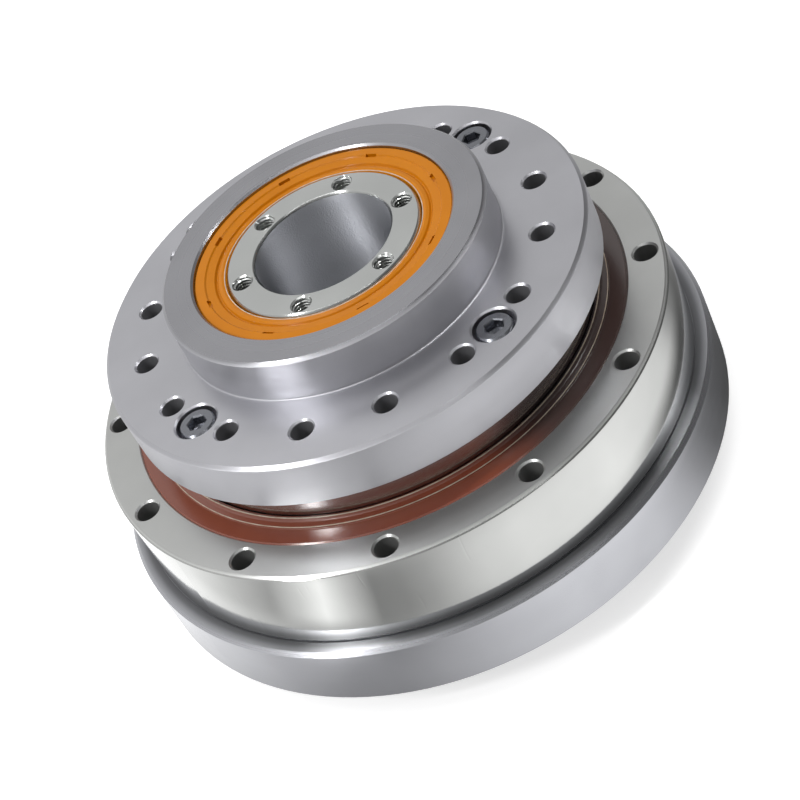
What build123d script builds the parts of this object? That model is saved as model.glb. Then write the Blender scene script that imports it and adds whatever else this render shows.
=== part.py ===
from build123d import *
from math import cos, degrees, pi, radians, sin, sqrt, tan
import os

# A hollow-shaft strain wave gear unit: case and outer ring, output flange on a crossed roller
# bearing, and a hollow input shaft whose oval cam bends a thin toothed cup into the circular spline.
# Millimetres, +Z up. The origin is on the axis, in the bottom face of the back boss.

# --- Driving dimensions --------------------------------------------------------------------------
# Gear teeth, which set the size of all that lies outside them
MODULE = 0.5
FLEX_TEETH = 100
SPLINE_TEETH = 102
FACE_W = 9.6
PRESSURE_ANGLE = 28.6
FLEX_TOOTH = 1.48 * MODULE  # tooth thickness at the pitch circle
SPLINE_TOOTH = 1.44 * MODULE
TOOTH_OUT = 0.66 * MODULE  # flexspline's tooth outside its pitch circle
TOOTH_IN = 0.76 * MODULE
SPLINE_OUT = 0.96 * MODULE  # tooth space outside the circular spline's pitch circle
SPLINE_IN = 0.56 * MODULE

# Heights, from the bottom up
BACK_BOSS_H = 6.0
CASE_H = 10.5
RING_H = 14.0
NECK_H = 6.0
FLANGE_H = 8.0
FRONT_BOSS_H = 7.0

# Hollow shaft
SHAFT_D = 30.0
SHAFT_WALL = 4.5
SHAFT_RECESS = 0.8  # each shaft end lies this far below its boss
SHAFT_EDGE = 0.35
SHOULDER_RISE = 1.6  # shaft shoulder that the bearing inner rings sit against
SHAFT_HOLES = 6

# Metric M3 fastening, used throughout
M3_D = 3.0
M3_DRILL_D = 2.5
M3_CLEAR_D = 3.4  # customer's holes
M3_CLOSE_D = 3.05  # holes of the unit's own screws, which also keep its rings in line
M3_HEAD_D = 5.5
M3_HEAD_H = 3.0
M3_SOCKET = 2.5
M3_DEPTH = 6.0
COUNTERBORE_D = 6.3
COUNTERBORE_DEPTH = 3.3
COUNTERSINK = 0.3
TAP_SINK = 0.4  # at the tapped holes, past the top of the thread
M25_DRILL_D = 2.05  # M2.5, in the shaft's input end only
M25_DEPTH = 5.0

# Holes and screws
OUTPUT_HOLES = 16
OUTPUT_SCREWS = 4
RING_HOLES = 12
RING_HOLE_D = 3.5
CASE_SCREWS = 4
CASE_SCREW_L = 12.0
RIM_SCREWS = 12
RIM_SCREW_L = 6.0

# Walls and steps, from the axis outwards
SPLINE_WALL = 2.62  # circular spline's hub outside its tooth spaces
SCREW_WALL = 0.875  # between the hub and the output screws
NECK_WALL = 1.975  # between the output screws and the neck
TRACK_WALL = 0.775  # between the output screws and the rollers' track
FLANGE_LAP = 3.0  # output flange beyond the neck
RING_WALL = 1.25  # outer ring on both sides of its bolt holes
CASE_STEP = 2.5  # case flange beyond the outer ring
BOSS_WALL = 5.0  # front and back boss outside the shaft seal
EDGE = 0.5  # chamfer on the turned outside edges
CASE_EDGE = 0.6

# Shaft bearings, one at each end of the shaft
BEARING_SECTION = 6.0
BEARING_W = 7.0
BEARING_RING = 2.1  # radial thickness of either ring
BEARING_BALL_D = 3.2
BEARING_BALLS = 16
SHIELD_T = 0.4
SHIELD_STEP = 0.6

# Shaft oil seals, one at each end of the shaft
SEAL_SECTION = 5.0
SEAL_W = 4.5
SEAL_RECESS = 0.6
SEAL_WEB = 0.8  # housing web between the seal and the bearing
SEAL_WEB_STEP = 1.4
SEAL_MARKS = 8
SEAL_MARK_TURN = 18.5  # degrees

# Large oil seal between the outer ring and the turning neck
BIG_SEAL_SECTION = 4.5
BIG_SEAL_W = 5.0
LIP_RISE = 1.0  # how far its dust lip stands above the ring

# Crossed roller bearing
ROLLER_D = 4.0
ROLLER_SHORT = 0.2  # a roller is this much shorter than it is wide
ROLLER_PLAY = 0.4
RACE_LIFT = 5.8  # roller circle above the foot of the outer ring
RACE_SPLIT = 1.0  # radial gap between the outer and inner rings
SPACER_T = 1.0
LOWER_RING_H = 3.6

# Circular spline's flange and the cover's register in it
SPLINE_FLANGE_H = 6.5
TEETH_DROP = 1.5  # flexspline's end below the output flange
COVER_REGISTER_LAND = 0.6
COVER_REGISTER_H = 0.8

# Flexspline, a toothed tube that flares into a clamped rim
FLEX_WALL = 0.5
RIM_T = 2.4
RIM_W = 6.5
RIM_SINK = 3.9  # rim seat below the top of the case
FLARE_R = 2.0

# Flexible bearing on the cam
CAM_SHOULDER = 0.8
FLEX_BEARING_SECTION = 5.88
FLEX_BEARING_W = 7.2
FLEX_RACE_T = 1.35
FLEX_BALL_D = 3.6
FLEX_BALLS = 23

# Register and O-ring between case and outer ring
REGISTER_STEP = 1.3
REGISTER_WALL = 3.0
REGISTER_H = 1.9
O_RING_CORD = 0.96
O_RING_GROOVE = 1.2

# Fits
FIT_GAP = 0.02  # radial gap of parts located or pressed in one another
SCREW_GAP = 0.02  # radial gap drawn round a screw's thread in its tapped hole
ROLL_GAP = 0.06  # between a ball or roller and its track
LIP_GAP = 0.1  # between a seal's lip and the turning surface
PLAY = 0.15  # between a shield or cage and the turning ring next to it
SEAT_GAP = 0.1  # axial gap past a register or shield
END_GAP = 0.6  # tapped hole past the end of its screw
LEAD = 0.3  # small chamfer that leads a bearing, seal or ring into its bore

# --- Places worked out from the driving dimensions -------------------------------------------------
Z_CASE = BACK_BOSS_H
Z_RING = Z_CASE + CASE_H
Z_RING_TOP = Z_RING + RING_H
Z_FLANGE = Z_RING_TOP + NECK_H
Z_FLANGE_TOP = Z_FLANGE + FLANGE_H
Z_TOP = Z_FLANGE_TOP + FRONT_BOSS_H

# Gear
WAVE = MODULE * (SPLINE_TEETH - FLEX_TEETH) / 2  # radial swing of the flexspline
FLEX_PITCH_R = MODULE * FLEX_TEETH / 2
SPLINE_PITCH_R = MODULE * SPLINE_TEETH / 2
FLEX_R = FLEX_PITCH_R - TOOTH_IN  # outside of the tube, at the foot of the teeth
FLEX_BORE_R = FLEX_R - FLEX_WALL
FLEX_MID_R = FLEX_R - FLEX_WALL / 2
SPLINE_HUB_R = SPLINE_PITCH_R + SPLINE_OUT + SPLINE_WALL
Z_SPLINE = Z_FLANGE - SPLINE_FLANGE_H
Z_TEETH_TOP = Z_FLANGE - TEETH_DROP
Z_TEETH = Z_TEETH_TOP - FACE_W
Z_HUB = Z_TEETH - 0.2  # foot of the circular spline's hub

# Flexible bearing and cam, from the flexspline's bore inwards
CAM_R = FLEX_BORE_R - FLEX_BEARING_SECTION - 2 * FIT_GAP
FLEX_BALL_R = (CAM_R + FLEX_BORE_R) / 2
Z_CAM = Z_TEETH + FACE_W / 2 - FLEX_BEARING_W / 2
Z_CAM_MID = Z_CAM + FLEX_BEARING_W / 2

# Output side, outwards from the circular spline's hub
OUTPUT_PCD = 2 * (SPLINE_HUB_R + SCREW_WALL) + M3_CLOSE_D
NECK_R = OUTPUT_PCD / 2 + M3_CLOSE_D / 2 + NECK_WALL
FLANGE_R = NECK_R + FLANGE_LAP
COVER_REGISTER_R = SPLINE_HUB_R - COVER_REGISTER_LAND

# Crossed rollers, in a square track that stands on its corner
TRACK_HALF = (ROLLER_D / 2 + ROLL_GAP) * sqrt(2)  # half diagonal of the track
TRACK_R = OUTPUT_PCD / 2 + M3_CLOSE_D / 2 + TRACK_WALL + TRACK_HALF
OUTER_LAND_R = TRACK_R + RACE_SPLIT / 2
INNER_LAND_R = TRACK_R - RACE_SPLIT / 2
LAND_HALF = TRACK_HALF - RACE_SPLIT / 2  # half height of the track's mouth
ROLLER_L = ROLLER_D - ROLLER_SHORT
ROLLERS = 2 * int(pi * TRACK_R / (ROLLER_D + SPACER_T + ROLLER_PLAY))
Z_RACE = Z_RING + RACE_LIFT
Z_LOWER_RING = Z_RACE - LOWER_RING_H

# Fixed side, outwards from the neck
BIG_SEAL_R = NECK_R + BIG_SEAL_SECTION
RING_PCD = 2 * (BIG_SEAL_R + RING_WALL) + RING_HOLE_D
RING_R = RING_PCD / 2 + RING_HOLE_D / 2 + RING_WALL
CASE_R = RING_R + CASE_STEP
REGISTER_R = OUTER_LAND_R + REGISTER_STEP

# Flexspline's rim, inwards from the register
RIM_R = REGISTER_R - REGISTER_WALL
RIM_BORE_R = RIM_R - RIM_W
RIM_PCD = RIM_R + RIM_BORE_R
Z_RIM = Z_RING - RIM_SINK
Z_RIM_TOP = Z_RIM + RIM_T
Z_FLARE = Z_RIM + RIM_T / 2

# Shaft, its bearings and its seals
SHAFT_R = SHAFT_D / 2
BORE_R = SHAFT_R - SHAFT_WALL
SHOULDER_R = SHAFT_R + SHOULDER_RISE
SHAFT_HOLE_PCD = SHAFT_R + BORE_R
BEARING_R = SHAFT_R + BEARING_SECTION
SEAL_R = SHAFT_R + SEAL_SECTION
SEAL_WEB_R = SEAL_R - SEAL_WEB_STEP
BOSS_R = SEAL_R + BOSS_WALL
BALL_CIRCLE_R = (SHAFT_R + BEARING_R) / 2
SEAL_SEAT = SEAL_RECESS + SEAL_W
Z_BEARING_LOW = SEAL_SEAT + SEAL_WEB
Z_BEARING_HIGH = Z_TOP - Z_BEARING_LOW - BEARING_W
Z_SHAFT_TOP = Z_TOP - SHAFT_RECESS


# --- Ways of making shapes -------------------------------------------------------------------------
def turned(*outline):
    """A solid turned about Z from its (radius, height) corners; a third number rounds that corner."""
    corners = [(p[0], p[1]) for p in outline]
    radii = [p[2] if len(p) > 2 else 0 for p in outline]
    return revolve(Plane.XZ * make_face(FilletPolyline(*corners, radius=radii, close=True)), Axis.Z)


def hollow(inner_r, outer_r, low, high):
    """A plain ring."""
    return turned((inner_r, low), (outer_r, low), (outer_r, high), (inner_r, high))


def drill(radius, low, high, countersink=0.0):
    """A drill bit standing on Z, with a countersink at its upper end."""
    bit = Pos(0, 0, low) * Cylinder(radius, high - low, align=(Align.CENTER, Align.CENTER, Align.MIN))
    if countersink > 0:
        over = 0.5
        bit += turned(
            (0, high - countersink),
            (radius, high - countersink),
            (radius + countersink + over, high + over),
            (0, high + over),
        )
    return bit


def around(tool, pcd, count, turn=0.0):
    """Copies of a shape on a hole circle."""
    return [place * tool for place in PolarLocations(pcd / 2, count, turn)]


def flipped(shape, height):
    """The shape turned upside down about the level z = height / 2."""
    return Pos(0, 0, height) * (Rot(180, 0, 0) * shape)


def oval(radius, height, low):
    """A solid oval disc: a circle of this radius swung out by WAVE on X and in by WAVE on Y."""
    return Pos(0, 0, low) * extrude(Ellipse(radius + WAVE, radius - WAVE), height)


def oval_ring(inner_r, outer_r, low, high):
    """A ring bent to the oval of the cam."""
    return oval(outer_r, high - low, low) - oval(inner_r, high - low, low)


def deflected(radius, angle):
    """Where a point of a thin ring goes when the cam bends the ring: (x, y, direction of its normal)."""
    out = WAVE * cos(2 * angle)
    along = -WAVE / 2 * sin(2 * angle)
    x = (radius + out) * cos(angle) - along * sin(angle)
    y = (radius + out) * sin(angle) + along * cos(angle)
    return x, y, angle + 1.5 * WAVE * sin(2 * angle) / radius


def cap_screw(length):
    """Socket head cap screw, head up, with the underside of its head at z = 0."""
    rim = 0.3
    tip = 0.4
    thread_r = M3_D / 2 - SCREW_GAP
    body = turned(
        (0, -length),
        (thread_r - tip, -length),
        (thread_r, tip - length),
        (thread_r, 0),
        (M3_HEAD_D / 2, 0),
        (M3_HEAD_D / 2, M3_HEAD_H - rim),
        (M3_HEAD_D / 2 - rim, M3_HEAD_H),
        (0, M3_HEAD_H),
    )
    socket_depth = 1.5
    socket = extrude(RegularPolygon(M3_SOCKET / 2, 6, major_radius=False), socket_depth)
    return body - Pos(0, 0, M3_HEAD_H - socket_depth) * socket


def save(name, *solids):
    """Write one named part; several solids make a group of like pieces."""
    shape = solids[0] if len(solids) == 1 else Compound(list(solids))
    export_step(shape, f"parts/{name}.step")


# --- Case side: what is bolted down ------------------------------------------------------------------
def case_housing():
    """Input end cap: back boss, bolting flange, bearing seat, seal bore and flexspline seat."""
    rim_r = RIM_R + FIT_GAP
    rim_land_r = RIM_BORE_R - 0.3
    flare_floor = Z_RIM - 1.0
    hub_r = BEARING_R + 2.2
    hub_top = max(Z_BEARING_LOW + BEARING_W, flare_floor) + 0.7
    register_top = Z_RING + REGISTER_H
    groove_mid = Z_RING + REGISTER_H / 2
    groove_r = REGISTER_R - O_RING_CORD - FIT_GAP
    body = turned(
        (SEAL_R + LEAD, 0),
        (BOSS_R - EDGE, 0),
        (BOSS_R, EDGE),
        (BOSS_R, Z_CASE, 0.3),
        (CASE_R - CASE_EDGE, Z_CASE),
        (CASE_R, Z_CASE + CASE_EDGE),
        (CASE_R, Z_RING - CASE_EDGE),
        (CASE_R - CASE_EDGE, Z_RING),
        (REGISTER_R, Z_RING),
        (REGISTER_R, groove_mid - O_RING_GROOVE / 2),
        (groove_r, groove_mid - O_RING_GROOVE / 2),
        (groove_r, groove_mid + O_RING_GROOVE / 2),
        (REGISTER_R, groove_mid + O_RING_GROOVE / 2),
        (REGISTER_R, register_top - 0.2),
        (REGISTER_R - 0.2, register_top),
        (rim_r, register_top),
        (rim_r, Z_RIM),
        (rim_land_r, Z_RIM),
        (rim_land_r, flare_floor, 0.5),
        (hub_r, flare_floor, 0.3),
        (hub_r, hub_top - LEAD),
        (hub_r - LEAD, hub_top),
        (BEARING_R, hub_top),
        (BEARING_R, Z_BEARING_LOW),
        (SEAL_WEB_R, Z_BEARING_LOW),
        (SEAL_WEB_R, SEAL_SEAT),
        (SEAL_R, SEAL_SEAT),
        (SEAL_R, LEAD),
    )
    through = drill(RING_HOLE_D / 2, Z_CASE, Z_RING)
    through += flipped(drill(RING_HOLE_D / 2, 0, CASE_H, COUNTERSINK), Z_CASE + Z_RING)
    body -= around(through, RING_PCD, RING_HOLES, 180 / RING_HOLES)
    screw_hole = drill(M3_CLOSE_D / 2, Z_CASE, Z_RING)
    screw_hole += drill(COUNTERBORE_D / 2, Z_CASE, Z_CASE + COUNTERBORE_DEPTH)
    body -= around(screw_hole, RING_PCD, CASE_SCREWS)
    rim_hole = drill(M3_D / 2, Z_RIM_TOP - RIM_SCREW_L - END_GAP, Z_RIM)
    body -= around(rim_hole, RIM_PCD, RIM_SCREWS)
    return body


def outer_ring():
    """Outer ring of the crossed roller bearing, made in one piece, with the large seal's bore."""
    seal_seat = Z_RING_TOP - BIG_SEAL_W
    register_r = REGISTER_R + FIT_GAP
    register_top = Z_RING + REGISTER_H + SEAT_GAP
    body = turned(
        (register_r, Z_RING),
        (RING_R - LEAD, Z_RING),
        (RING_R, Z_RING + LEAD),
        (RING_R, Z_RING_TOP - EDGE),
        (RING_R - EDGE, Z_RING_TOP),
        (BIG_SEAL_R + 0.2, Z_RING_TOP),
        (BIG_SEAL_R, Z_RING_TOP - 0.2),
        (BIG_SEAL_R, seal_seat),
        (OUTER_LAND_R, seal_seat),
        (OUTER_LAND_R, Z_RACE + LAND_HALF),
        (TRACK_R + TRACK_HALF, Z_RACE),
        (OUTER_LAND_R, Z_RACE - LAND_HALF),
        (OUTER_LAND_R, register_top),
        (register_r, register_top),
    )
    through = drill(RING_HOLE_D / 2, Z_RING, Z_RING_TOP, COUNTERSINK)
    body -= around(through, RING_PCD, RING_HOLES, 180 / RING_HOLES)
    screw_end = Z_CASE + COUNTERBORE_DEPTH + CASE_SCREW_L
    body -= around(drill(M3_D / 2, Z_RING, screw_end + END_GAP), RING_PCD, CASE_SCREWS)
    return body


def case_screws():
    """Screws put in from the back, which hold the case to the outer ring."""
    seat = Z_CASE + COUNTERBORE_DEPTH
    screw = Pos(0, 0, seat) * (Rot(180, 0, 0) * cap_screw(CASE_SCREW_L))
    return around(screw, RING_PCD, CASE_SCREWS)


def case_o_ring():
    """O-ring in the case register's groove."""
    middle = Z_RING + REGISTER_H / 2
    return Pos(0, 0, middle) * Torus(REGISTER_R - O_RING_CORD / 2, O_RING_CORD / 2)


def flexspline():
    """Thin toothed tube, held oval by the cam at its open end and round at its flared, clamped rim."""
    half = (FLEX_WALL + 0.1) / 2  # half the diaphragm's thickness
    z_round = Z_FLARE + FLARE_R + 2 * half
    flare = turned(
        (FLEX_BORE_R, z_round),
        (FLEX_BORE_R, Z_FLARE - half, FLARE_R),
        (RIM_BORE_R, Z_FLARE - half),
        (RIM_BORE_R, Z_RIM),
        (RIM_R, Z_RIM),
        (RIM_R, Z_RIM_TOP),
        (RIM_BORE_R, Z_RIM_TOP),
        (RIM_BORE_R, Z_FLARE + half, 0.3),
        (FLEX_R, Z_FLARE + half, FLARE_R - FLEX_WALL),
        (FLEX_R, z_round),
    )
    tube = transition(FLEX_R, z_round, Z_TEETH) - transition(FLEX_BORE_R, z_round, Z_TEETH)
    teeth = extrude(make_face(Polyline(*flexspline_tooth_line(), close=True)), FACE_W)
    crown = Pos(0, 0, Z_TEETH) * teeth - oval(FLEX_BORE_R, FACE_W, Z_TEETH)
    body = flare + tube + crown
    return body - around(drill(M3_D / 2 + 0.1, Z_RIM, Z_RIM_TOP), RIM_PCD, RIM_SCREWS)


def transition(radius, low, high):
    """A plug that is round at the bottom and oval at the top."""
    bottom = Pos(0, 0, low) * Ellipse(radius, radius)
    top = Pos(0, 0, high) * Ellipse(radius + WAVE, radius - WAVE)
    return loft([bottom, top])


def tooth_corner(x, y, direction, out, side):
    """The point that lies so far out from (x, y) and so far to the side of that direction."""
    east = x + out * cos(direction) - side * sin(direction)
    north = y + out * sin(direction) + side * cos(direction)
    return east, north


def flexspline_tooth_line():
    """Corners of the flexspline's teeth, each tooth carried and tipped by the bent wall."""
    flank = tan(radians(PRESSURE_ANGLE))
    corners = []
    for tooth in range(FLEX_TEETH):
        x, y, normal = deflected(FLEX_MID_R, 2 * pi * tooth / FLEX_TEETH)
        for rise, side in ((-TOOTH_IN, -1), (TOOTH_OUT, -1), (TOOTH_OUT, 1), (-TOOTH_IN, 1)):
            half = FLEX_TOOTH / 2 - rise * flank
            out = FLEX_PITCH_R + rise - FLEX_MID_R
            corners.append(tooth_corner(x, y, normal, out, side * half))
    return corners


def flexspline_screws():
    """Screws that clamp the flexspline's rim to the case."""
    screw = Pos(0, 0, Z_RIM_TOP) * cap_screw(RIM_SCREW_L)
    return around(screw, RIM_PCD, RIM_SCREWS)


def large_oil_seal():
    """Rubber seal pressed in the outer ring, with a sprung main lip and a dust lip standing proud."""
    neck_r = NECK_R + LIP_GAP
    bore_r = BIG_SEAL_R - FIT_GAP
    top = Z_RING_TOP
    foot = top - BIG_SEAL_W
    lip = top + LIP_RISE
    return turned(
        (bore_r, foot),
        (bore_r, top - 0.2),
        (bore_r - 0.2, top),
        (neck_r + 1.75, top, 0.1),
        (neck_r + 1.6, top + 0.3, 0.08),
        (neck_r + 0.85, lip - 0.45, 0.3),
        (neck_r + 0.5, lip, 0.15),
        (neck_r, lip - 0.2, 0.08),
        (neck_r + 0.45, lip - 0.9, 0.3),
        (neck_r + 0.6, top - 0.7, 0.3),
        (neck_r + 0.3, top - 1.7, 0.3),
        (neck_r, foot + 2.1),
        (neck_r + 0.4, foot + 1.1),
        (neck_r + 0.9, foot + 1.1),
        (neck_r + 0.9, foot + 2.6, 0.3),
        (neck_r + 1.3, top - 1.3, 0.4),
        (bore_r - 1.4, top - 1.2, 0.3),
        (bore_r - 1.3, foot),
    )


def large_seal_spring():
    """Garter spring that hugs the large seal's main lip, drawn as a plain ring."""
    cord_r = 0.45
    ring_r = NECK_R + LIP_GAP + 0.9 + cord_r + FIT_GAP
    return Pos(0, 0, Z_RING_TOP - BIG_SEAL_W + 1.8) * Torus(ring_r, cord_r)


# --- Shaft seals and bearings, alike at both ends ---------------------------------------------------
def shaft_seal():
    """Rubber shaft seal, outer face up at z = 0."""
    shaft_r = SHAFT_R + LIP_GAP
    bore_r = SEAL_R - FIT_GAP
    body = turned(
        (bore_r, -SEAL_W),
        (bore_r, -0.25),
        (bore_r - 0.25, 0),
        (bore_r - 1.65, 0, 0.1),
        (bore_r - 1.85, -0.2, 0.1),
        (bore_r - 3.1, -0.35, 0.15),
        (bore_r - 3.4, -0.85, 0.15),
        (bore_r - 3.7, -0.45, 0.15),
        (bore_r - 4.2, -0.3, 0.25),
        (shaft_r + 0.2, -0.45, 0.15),
        (shaft_r, -0.8),
        (shaft_r + 0.45, -1.4, 0.2),
        (shaft_r + 0.5, -2.0, 0.2),
        (shaft_r, -2.9),
        (shaft_r + 0.4, -3.9),
        (shaft_r + 0.8, -3.9),
        (shaft_r + 0.8, -2.6, 0.2),
        (shaft_r + 1.2, -1.8, 0.3),
        (bore_r - 1.2, -1.5, 0.3),
        (bore_r - 1.1, -SEAL_W),
    )
    mark = Pos(0, 0, -0.15) * Box(0.5, 1.8, 0.7)
    return body - around(mark, 2 * (bore_r - 1.75), SEAL_MARKS, SEAL_MARK_TURN)


def shaft_seal_spring():
    """Garter spring of a shaft seal, drawn as a plain ring."""
    cord_r = 0.35
    return Pos(0, 0, -3.25) * Torus(SHAFT_R + LIP_GAP + 0.8 + cord_r + FIT_GAP, cord_r)


def ball_track():
    """The ring of space that a shaft bearing's balls roll in."""
    return Pos(0, 0, BEARING_W / 2) * Torus(BALL_CIRCLE_R, BEARING_BALL_D / 2 + ROLL_GAP)


def bearing_outer_ring():
    """Outer ring of a shaft bearing, standing on z = 0, stepped at both faces for the shields."""
    outer_r = BEARING_R - FIT_GAP
    inner_r = BEARING_R - BEARING_RING
    step_r = inner_r + SHIELD_STEP
    step_h = SHIELD_T + SEAT_GAP
    ring = turned(
        (step_r, 0),
        (outer_r - LEAD, 0),
        (outer_r, LEAD),
        (outer_r, BEARING_W - LEAD),
        (outer_r - LEAD, BEARING_W),
        (step_r, BEARING_W),
        (step_r, BEARING_W - step_h),
        (inner_r, BEARING_W - step_h),
        (inner_r, step_h),
        (step_r, step_h),
    )
    return ring - ball_track()


def bearing_inner_ring():
    """Inner ring of a shaft bearing, standing on z = 0."""
    inner_r = SHAFT_R + FIT_GAP
    outer_r = SHAFT_R + BEARING_RING
    ring = turned(
        (inner_r + LEAD, 0),
        (outer_r, 0),
        (outer_r, BEARING_W),
        (inner_r + LEAD, BEARING_W),
        (inner_r, BEARING_W - LEAD),
        (inner_r, LEAD),
    )
    return ring - ball_track()


def bearing_shields():
    """The two shields pressed in a shaft bearing's outer ring."""
    outer_r = BEARING_R - BEARING_RING + SHIELD_STEP - FIT_GAP
    inner_r = SHAFT_R + BEARING_RING + PLAY
    levels = (SEAT_GAP, BEARING_W - SEAT_GAP - SHIELD_T)
    return [hollow(inner_r, outer_r, z, z + SHIELD_T) for z in levels]


def bearing_balls():
    """The balls of a shaft bearing."""
    ball = Pos(0, 0, BEARING_W / 2) * Sphere(BEARING_BALL_D / 2)
    return around(ball, 2 * BALL_CIRCLE_R, BEARING_BALLS)


def ball_pocket(ball_d):
    """Tool for a cage's pocket: a round hole bored outwards along X."""
    return Rot(0, 90, 0) * Cylinder(ball_d / 2 + ROLL_GAP, ball_d)


def bearing_cage():
    """Cage of a shaft bearing, a ring with a round pocket bored for each ball."""
    half_h = 2.3
    inner_r = SHAFT_R + BEARING_RING + 2 * PLAY
    outer_r = BEARING_R - BEARING_RING - 2 * PLAY
    ring = hollow(inner_r, outer_r, BEARING_W / 2 - half_h, BEARING_W / 2 + half_h)
    pocket = Pos(0, 0, BEARING_W / 2) * ball_pocket(BEARING_BALL_D)
    return ring - around(pocket, 2 * BALL_CIRCLE_R, BEARING_BALLS)


# --- Output side: what turns slowly -----------------------------------------------------------------
def output_flange():
    """Output cover: flange with the customer's holes, front boss, bearing seat and seal bore."""
    bearing_top = Z_BEARING_HIGH + BEARING_W
    register_r = COVER_REGISTER_R - FIT_GAP
    body = turned(
        (BEARING_R, Z_FLANGE - COVER_REGISTER_H),
        (register_r, Z_FLANGE - COVER_REGISTER_H),
        (register_r, Z_FLANGE),
        (FLANGE_R - EDGE, Z_FLANGE),
        (FLANGE_R, Z_FLANGE + EDGE),
        (FLANGE_R, Z_FLANGE_TOP - EDGE),
        (FLANGE_R - EDGE, Z_FLANGE_TOP),
        (BOSS_R, Z_FLANGE_TOP, 0.25),
        (BOSS_R, Z_TOP - EDGE),
        (BOSS_R - EDGE, Z_TOP),
        (SEAL_R + LEAD, Z_TOP),
        (SEAL_R, Z_TOP - LEAD),
        (SEAL_R, Z_TOP - SEAL_SEAT),
        (SEAL_WEB_R, Z_TOP - SEAL_SEAT),
        (SEAL_WEB_R, bearing_top),
        (BEARING_R, bearing_top),
    )
    hole = drill(M3_CLEAR_D / 2, Z_FLANGE, Z_FLANGE_TOP, COUNTERSINK)
    body -= around(hole, OUTPUT_PCD, OUTPUT_HOLES, 180 / OUTPUT_HOLES)
    screw_hole = drill(M3_CLOSE_D / 2, Z_FLANGE, Z_FLANGE_TOP)
    screw_hole += drill(COUNTERBORE_D / 2, Z_FLANGE_TOP - COUNTERBORE_DEPTH, Z_FLANGE_TOP, 0.25)
    return body - around(screw_hole, OUTPUT_PCD, OUTPUT_SCREWS)


def circular_spline():
    """Rigid ring with internal teeth, flanged to lie between the cover and the bearing."""
    tip_r = SPLINE_PITCH_R - SPLINE_IN
    register_foot = Z_FLANGE - COVER_REGISTER_H - SEAT_GAP
    body = turned(
        (tip_r, Z_HUB),
        (SPLINE_HUB_R, Z_HUB),
        (SPLINE_HUB_R, Z_SPLINE),
        (NECK_R, Z_SPLINE),
        (NECK_R, Z_FLANGE),
        (COVER_REGISTER_R, Z_FLANGE),
        (COVER_REGISTER_R, register_foot),
        (tip_r, register_foot),
    )
    spaces = make_face(Polyline(*spline_tooth_line(), close=True))
    body -= Pos(0, 0, Z_HUB) * extrude(spaces, Z_FLANGE - Z_HUB)
    tapped = drill(M3_DRILL_D / 2, Z_FLANGE - M3_DEPTH, Z_FLANGE)
    body -= around(tapped, OUTPUT_PCD, OUTPUT_HOLES, 180 / OUTPUT_HOLES)
    return body - around(drill(M3_CLOSE_D / 2, Z_SPLINE, Z_FLANGE), OUTPUT_PCD, OUTPUT_SCREWS)


def spline_tooth_line():
    """Corners of the bore between the circular spline's teeth, with a space on +X."""
    flank = tan(radians(PRESSURE_ANGLE))
    corners = []
    for tooth in range(SPLINE_TEETH):
        middle = 2 * pi * (tooth + 0.5) / SPLINE_TEETH
        for rise, side in ((SPLINE_OUT, -1), (-SPLINE_IN, -1), (-SPLINE_IN, 1), (SPLINE_OUT, 1)):
            half = SPLINE_TOOTH / 2 + rise * flank
            corners.append(tooth_corner(0, 0, middle, SPLINE_PITCH_R + rise, side * half))
    return corners


def inner_ring_upper():
    """Upper half of the bearing's split inner ring, which carries the large seal's journal."""
    bore_r = SPLINE_HUB_R + FIT_GAP
    land_top = Z_RACE + LAND_HALF + 0.6
    body = turned(
        (bore_r, Z_RACE),
        (TRACK_R - TRACK_HALF, Z_RACE),
        (INNER_LAND_R, Z_RACE + LAND_HALF),
        (INNER_LAND_R, land_top),
        (NECK_R, land_top),
        (NECK_R, Z_SPLINE),
        (bore_r, Z_SPLINE),
    )
    return body - around(drill(M3_CLOSE_D / 2, Z_RACE, Z_SPLINE), OUTPUT_PCD, OUTPUT_SCREWS)


def inner_ring_lower():
    """Lower half of the split inner ring, tapped for the screws that clamp the output side together."""
    bore_r = SPLINE_HUB_R + FIT_GAP
    body = turned(
        (bore_r, Z_LOWER_RING),
        (INNER_LAND_R, Z_LOWER_RING),
        (INNER_LAND_R, Z_RACE - LAND_HALF),
        (TRACK_R - TRACK_HALF, Z_RACE),
        (bore_r, Z_RACE),
    )
    return body - around(drill(M3_D / 2, Z_LOWER_RING, Z_RACE), OUTPUT_PCD, OUTPUT_SCREWS)


def output_screws():
    """Long screws from the cover through the circular spline into the lower inner ring."""
    seat = Z_FLANGE_TOP - COUNTERBORE_DEPTH
    length = int(seat - Z_LOWER_RING)
    return around(Pos(0, 0, seat) * cap_screw(length), OUTPUT_PCD, OUTPUT_SCREWS)


# --- Crossed rollers ----------------------------------------------------------------------------------
def crossed_rollers():
    """Short rollers in one track, each lying square across its neighbours."""
    edge = 0.2
    roller_r = ROLLER_D / 2
    half = ROLLER_L / 2
    roller = turned(
        (0, -half),
        (roller_r - edge, -half),
        (roller_r, edge - half),
        (roller_r, half - edge),
        (roller_r - edge, half),
        (0, half),
    )
    pair = [Rot(0, lean, 0) * roller for lean in (-45, 45)]
    places = Pos(0, 0, Z_RACE) * PolarLocations(TRACK_R, ROLLERS)
    return [place * pair[i % 2] for i, place in enumerate(places)]


def roller_spacers():
    """Thin square spacers that stand on edge between the rollers."""
    side = ROLLER_D - 0.5
    spacer = Rot(0, 45, 0) * Box(side, SPACER_T, side)
    return around(Pos(0, 0, Z_RACE) * spacer, 2 * TRACK_R, ROLLERS, 180 / ROLLERS)


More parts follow.
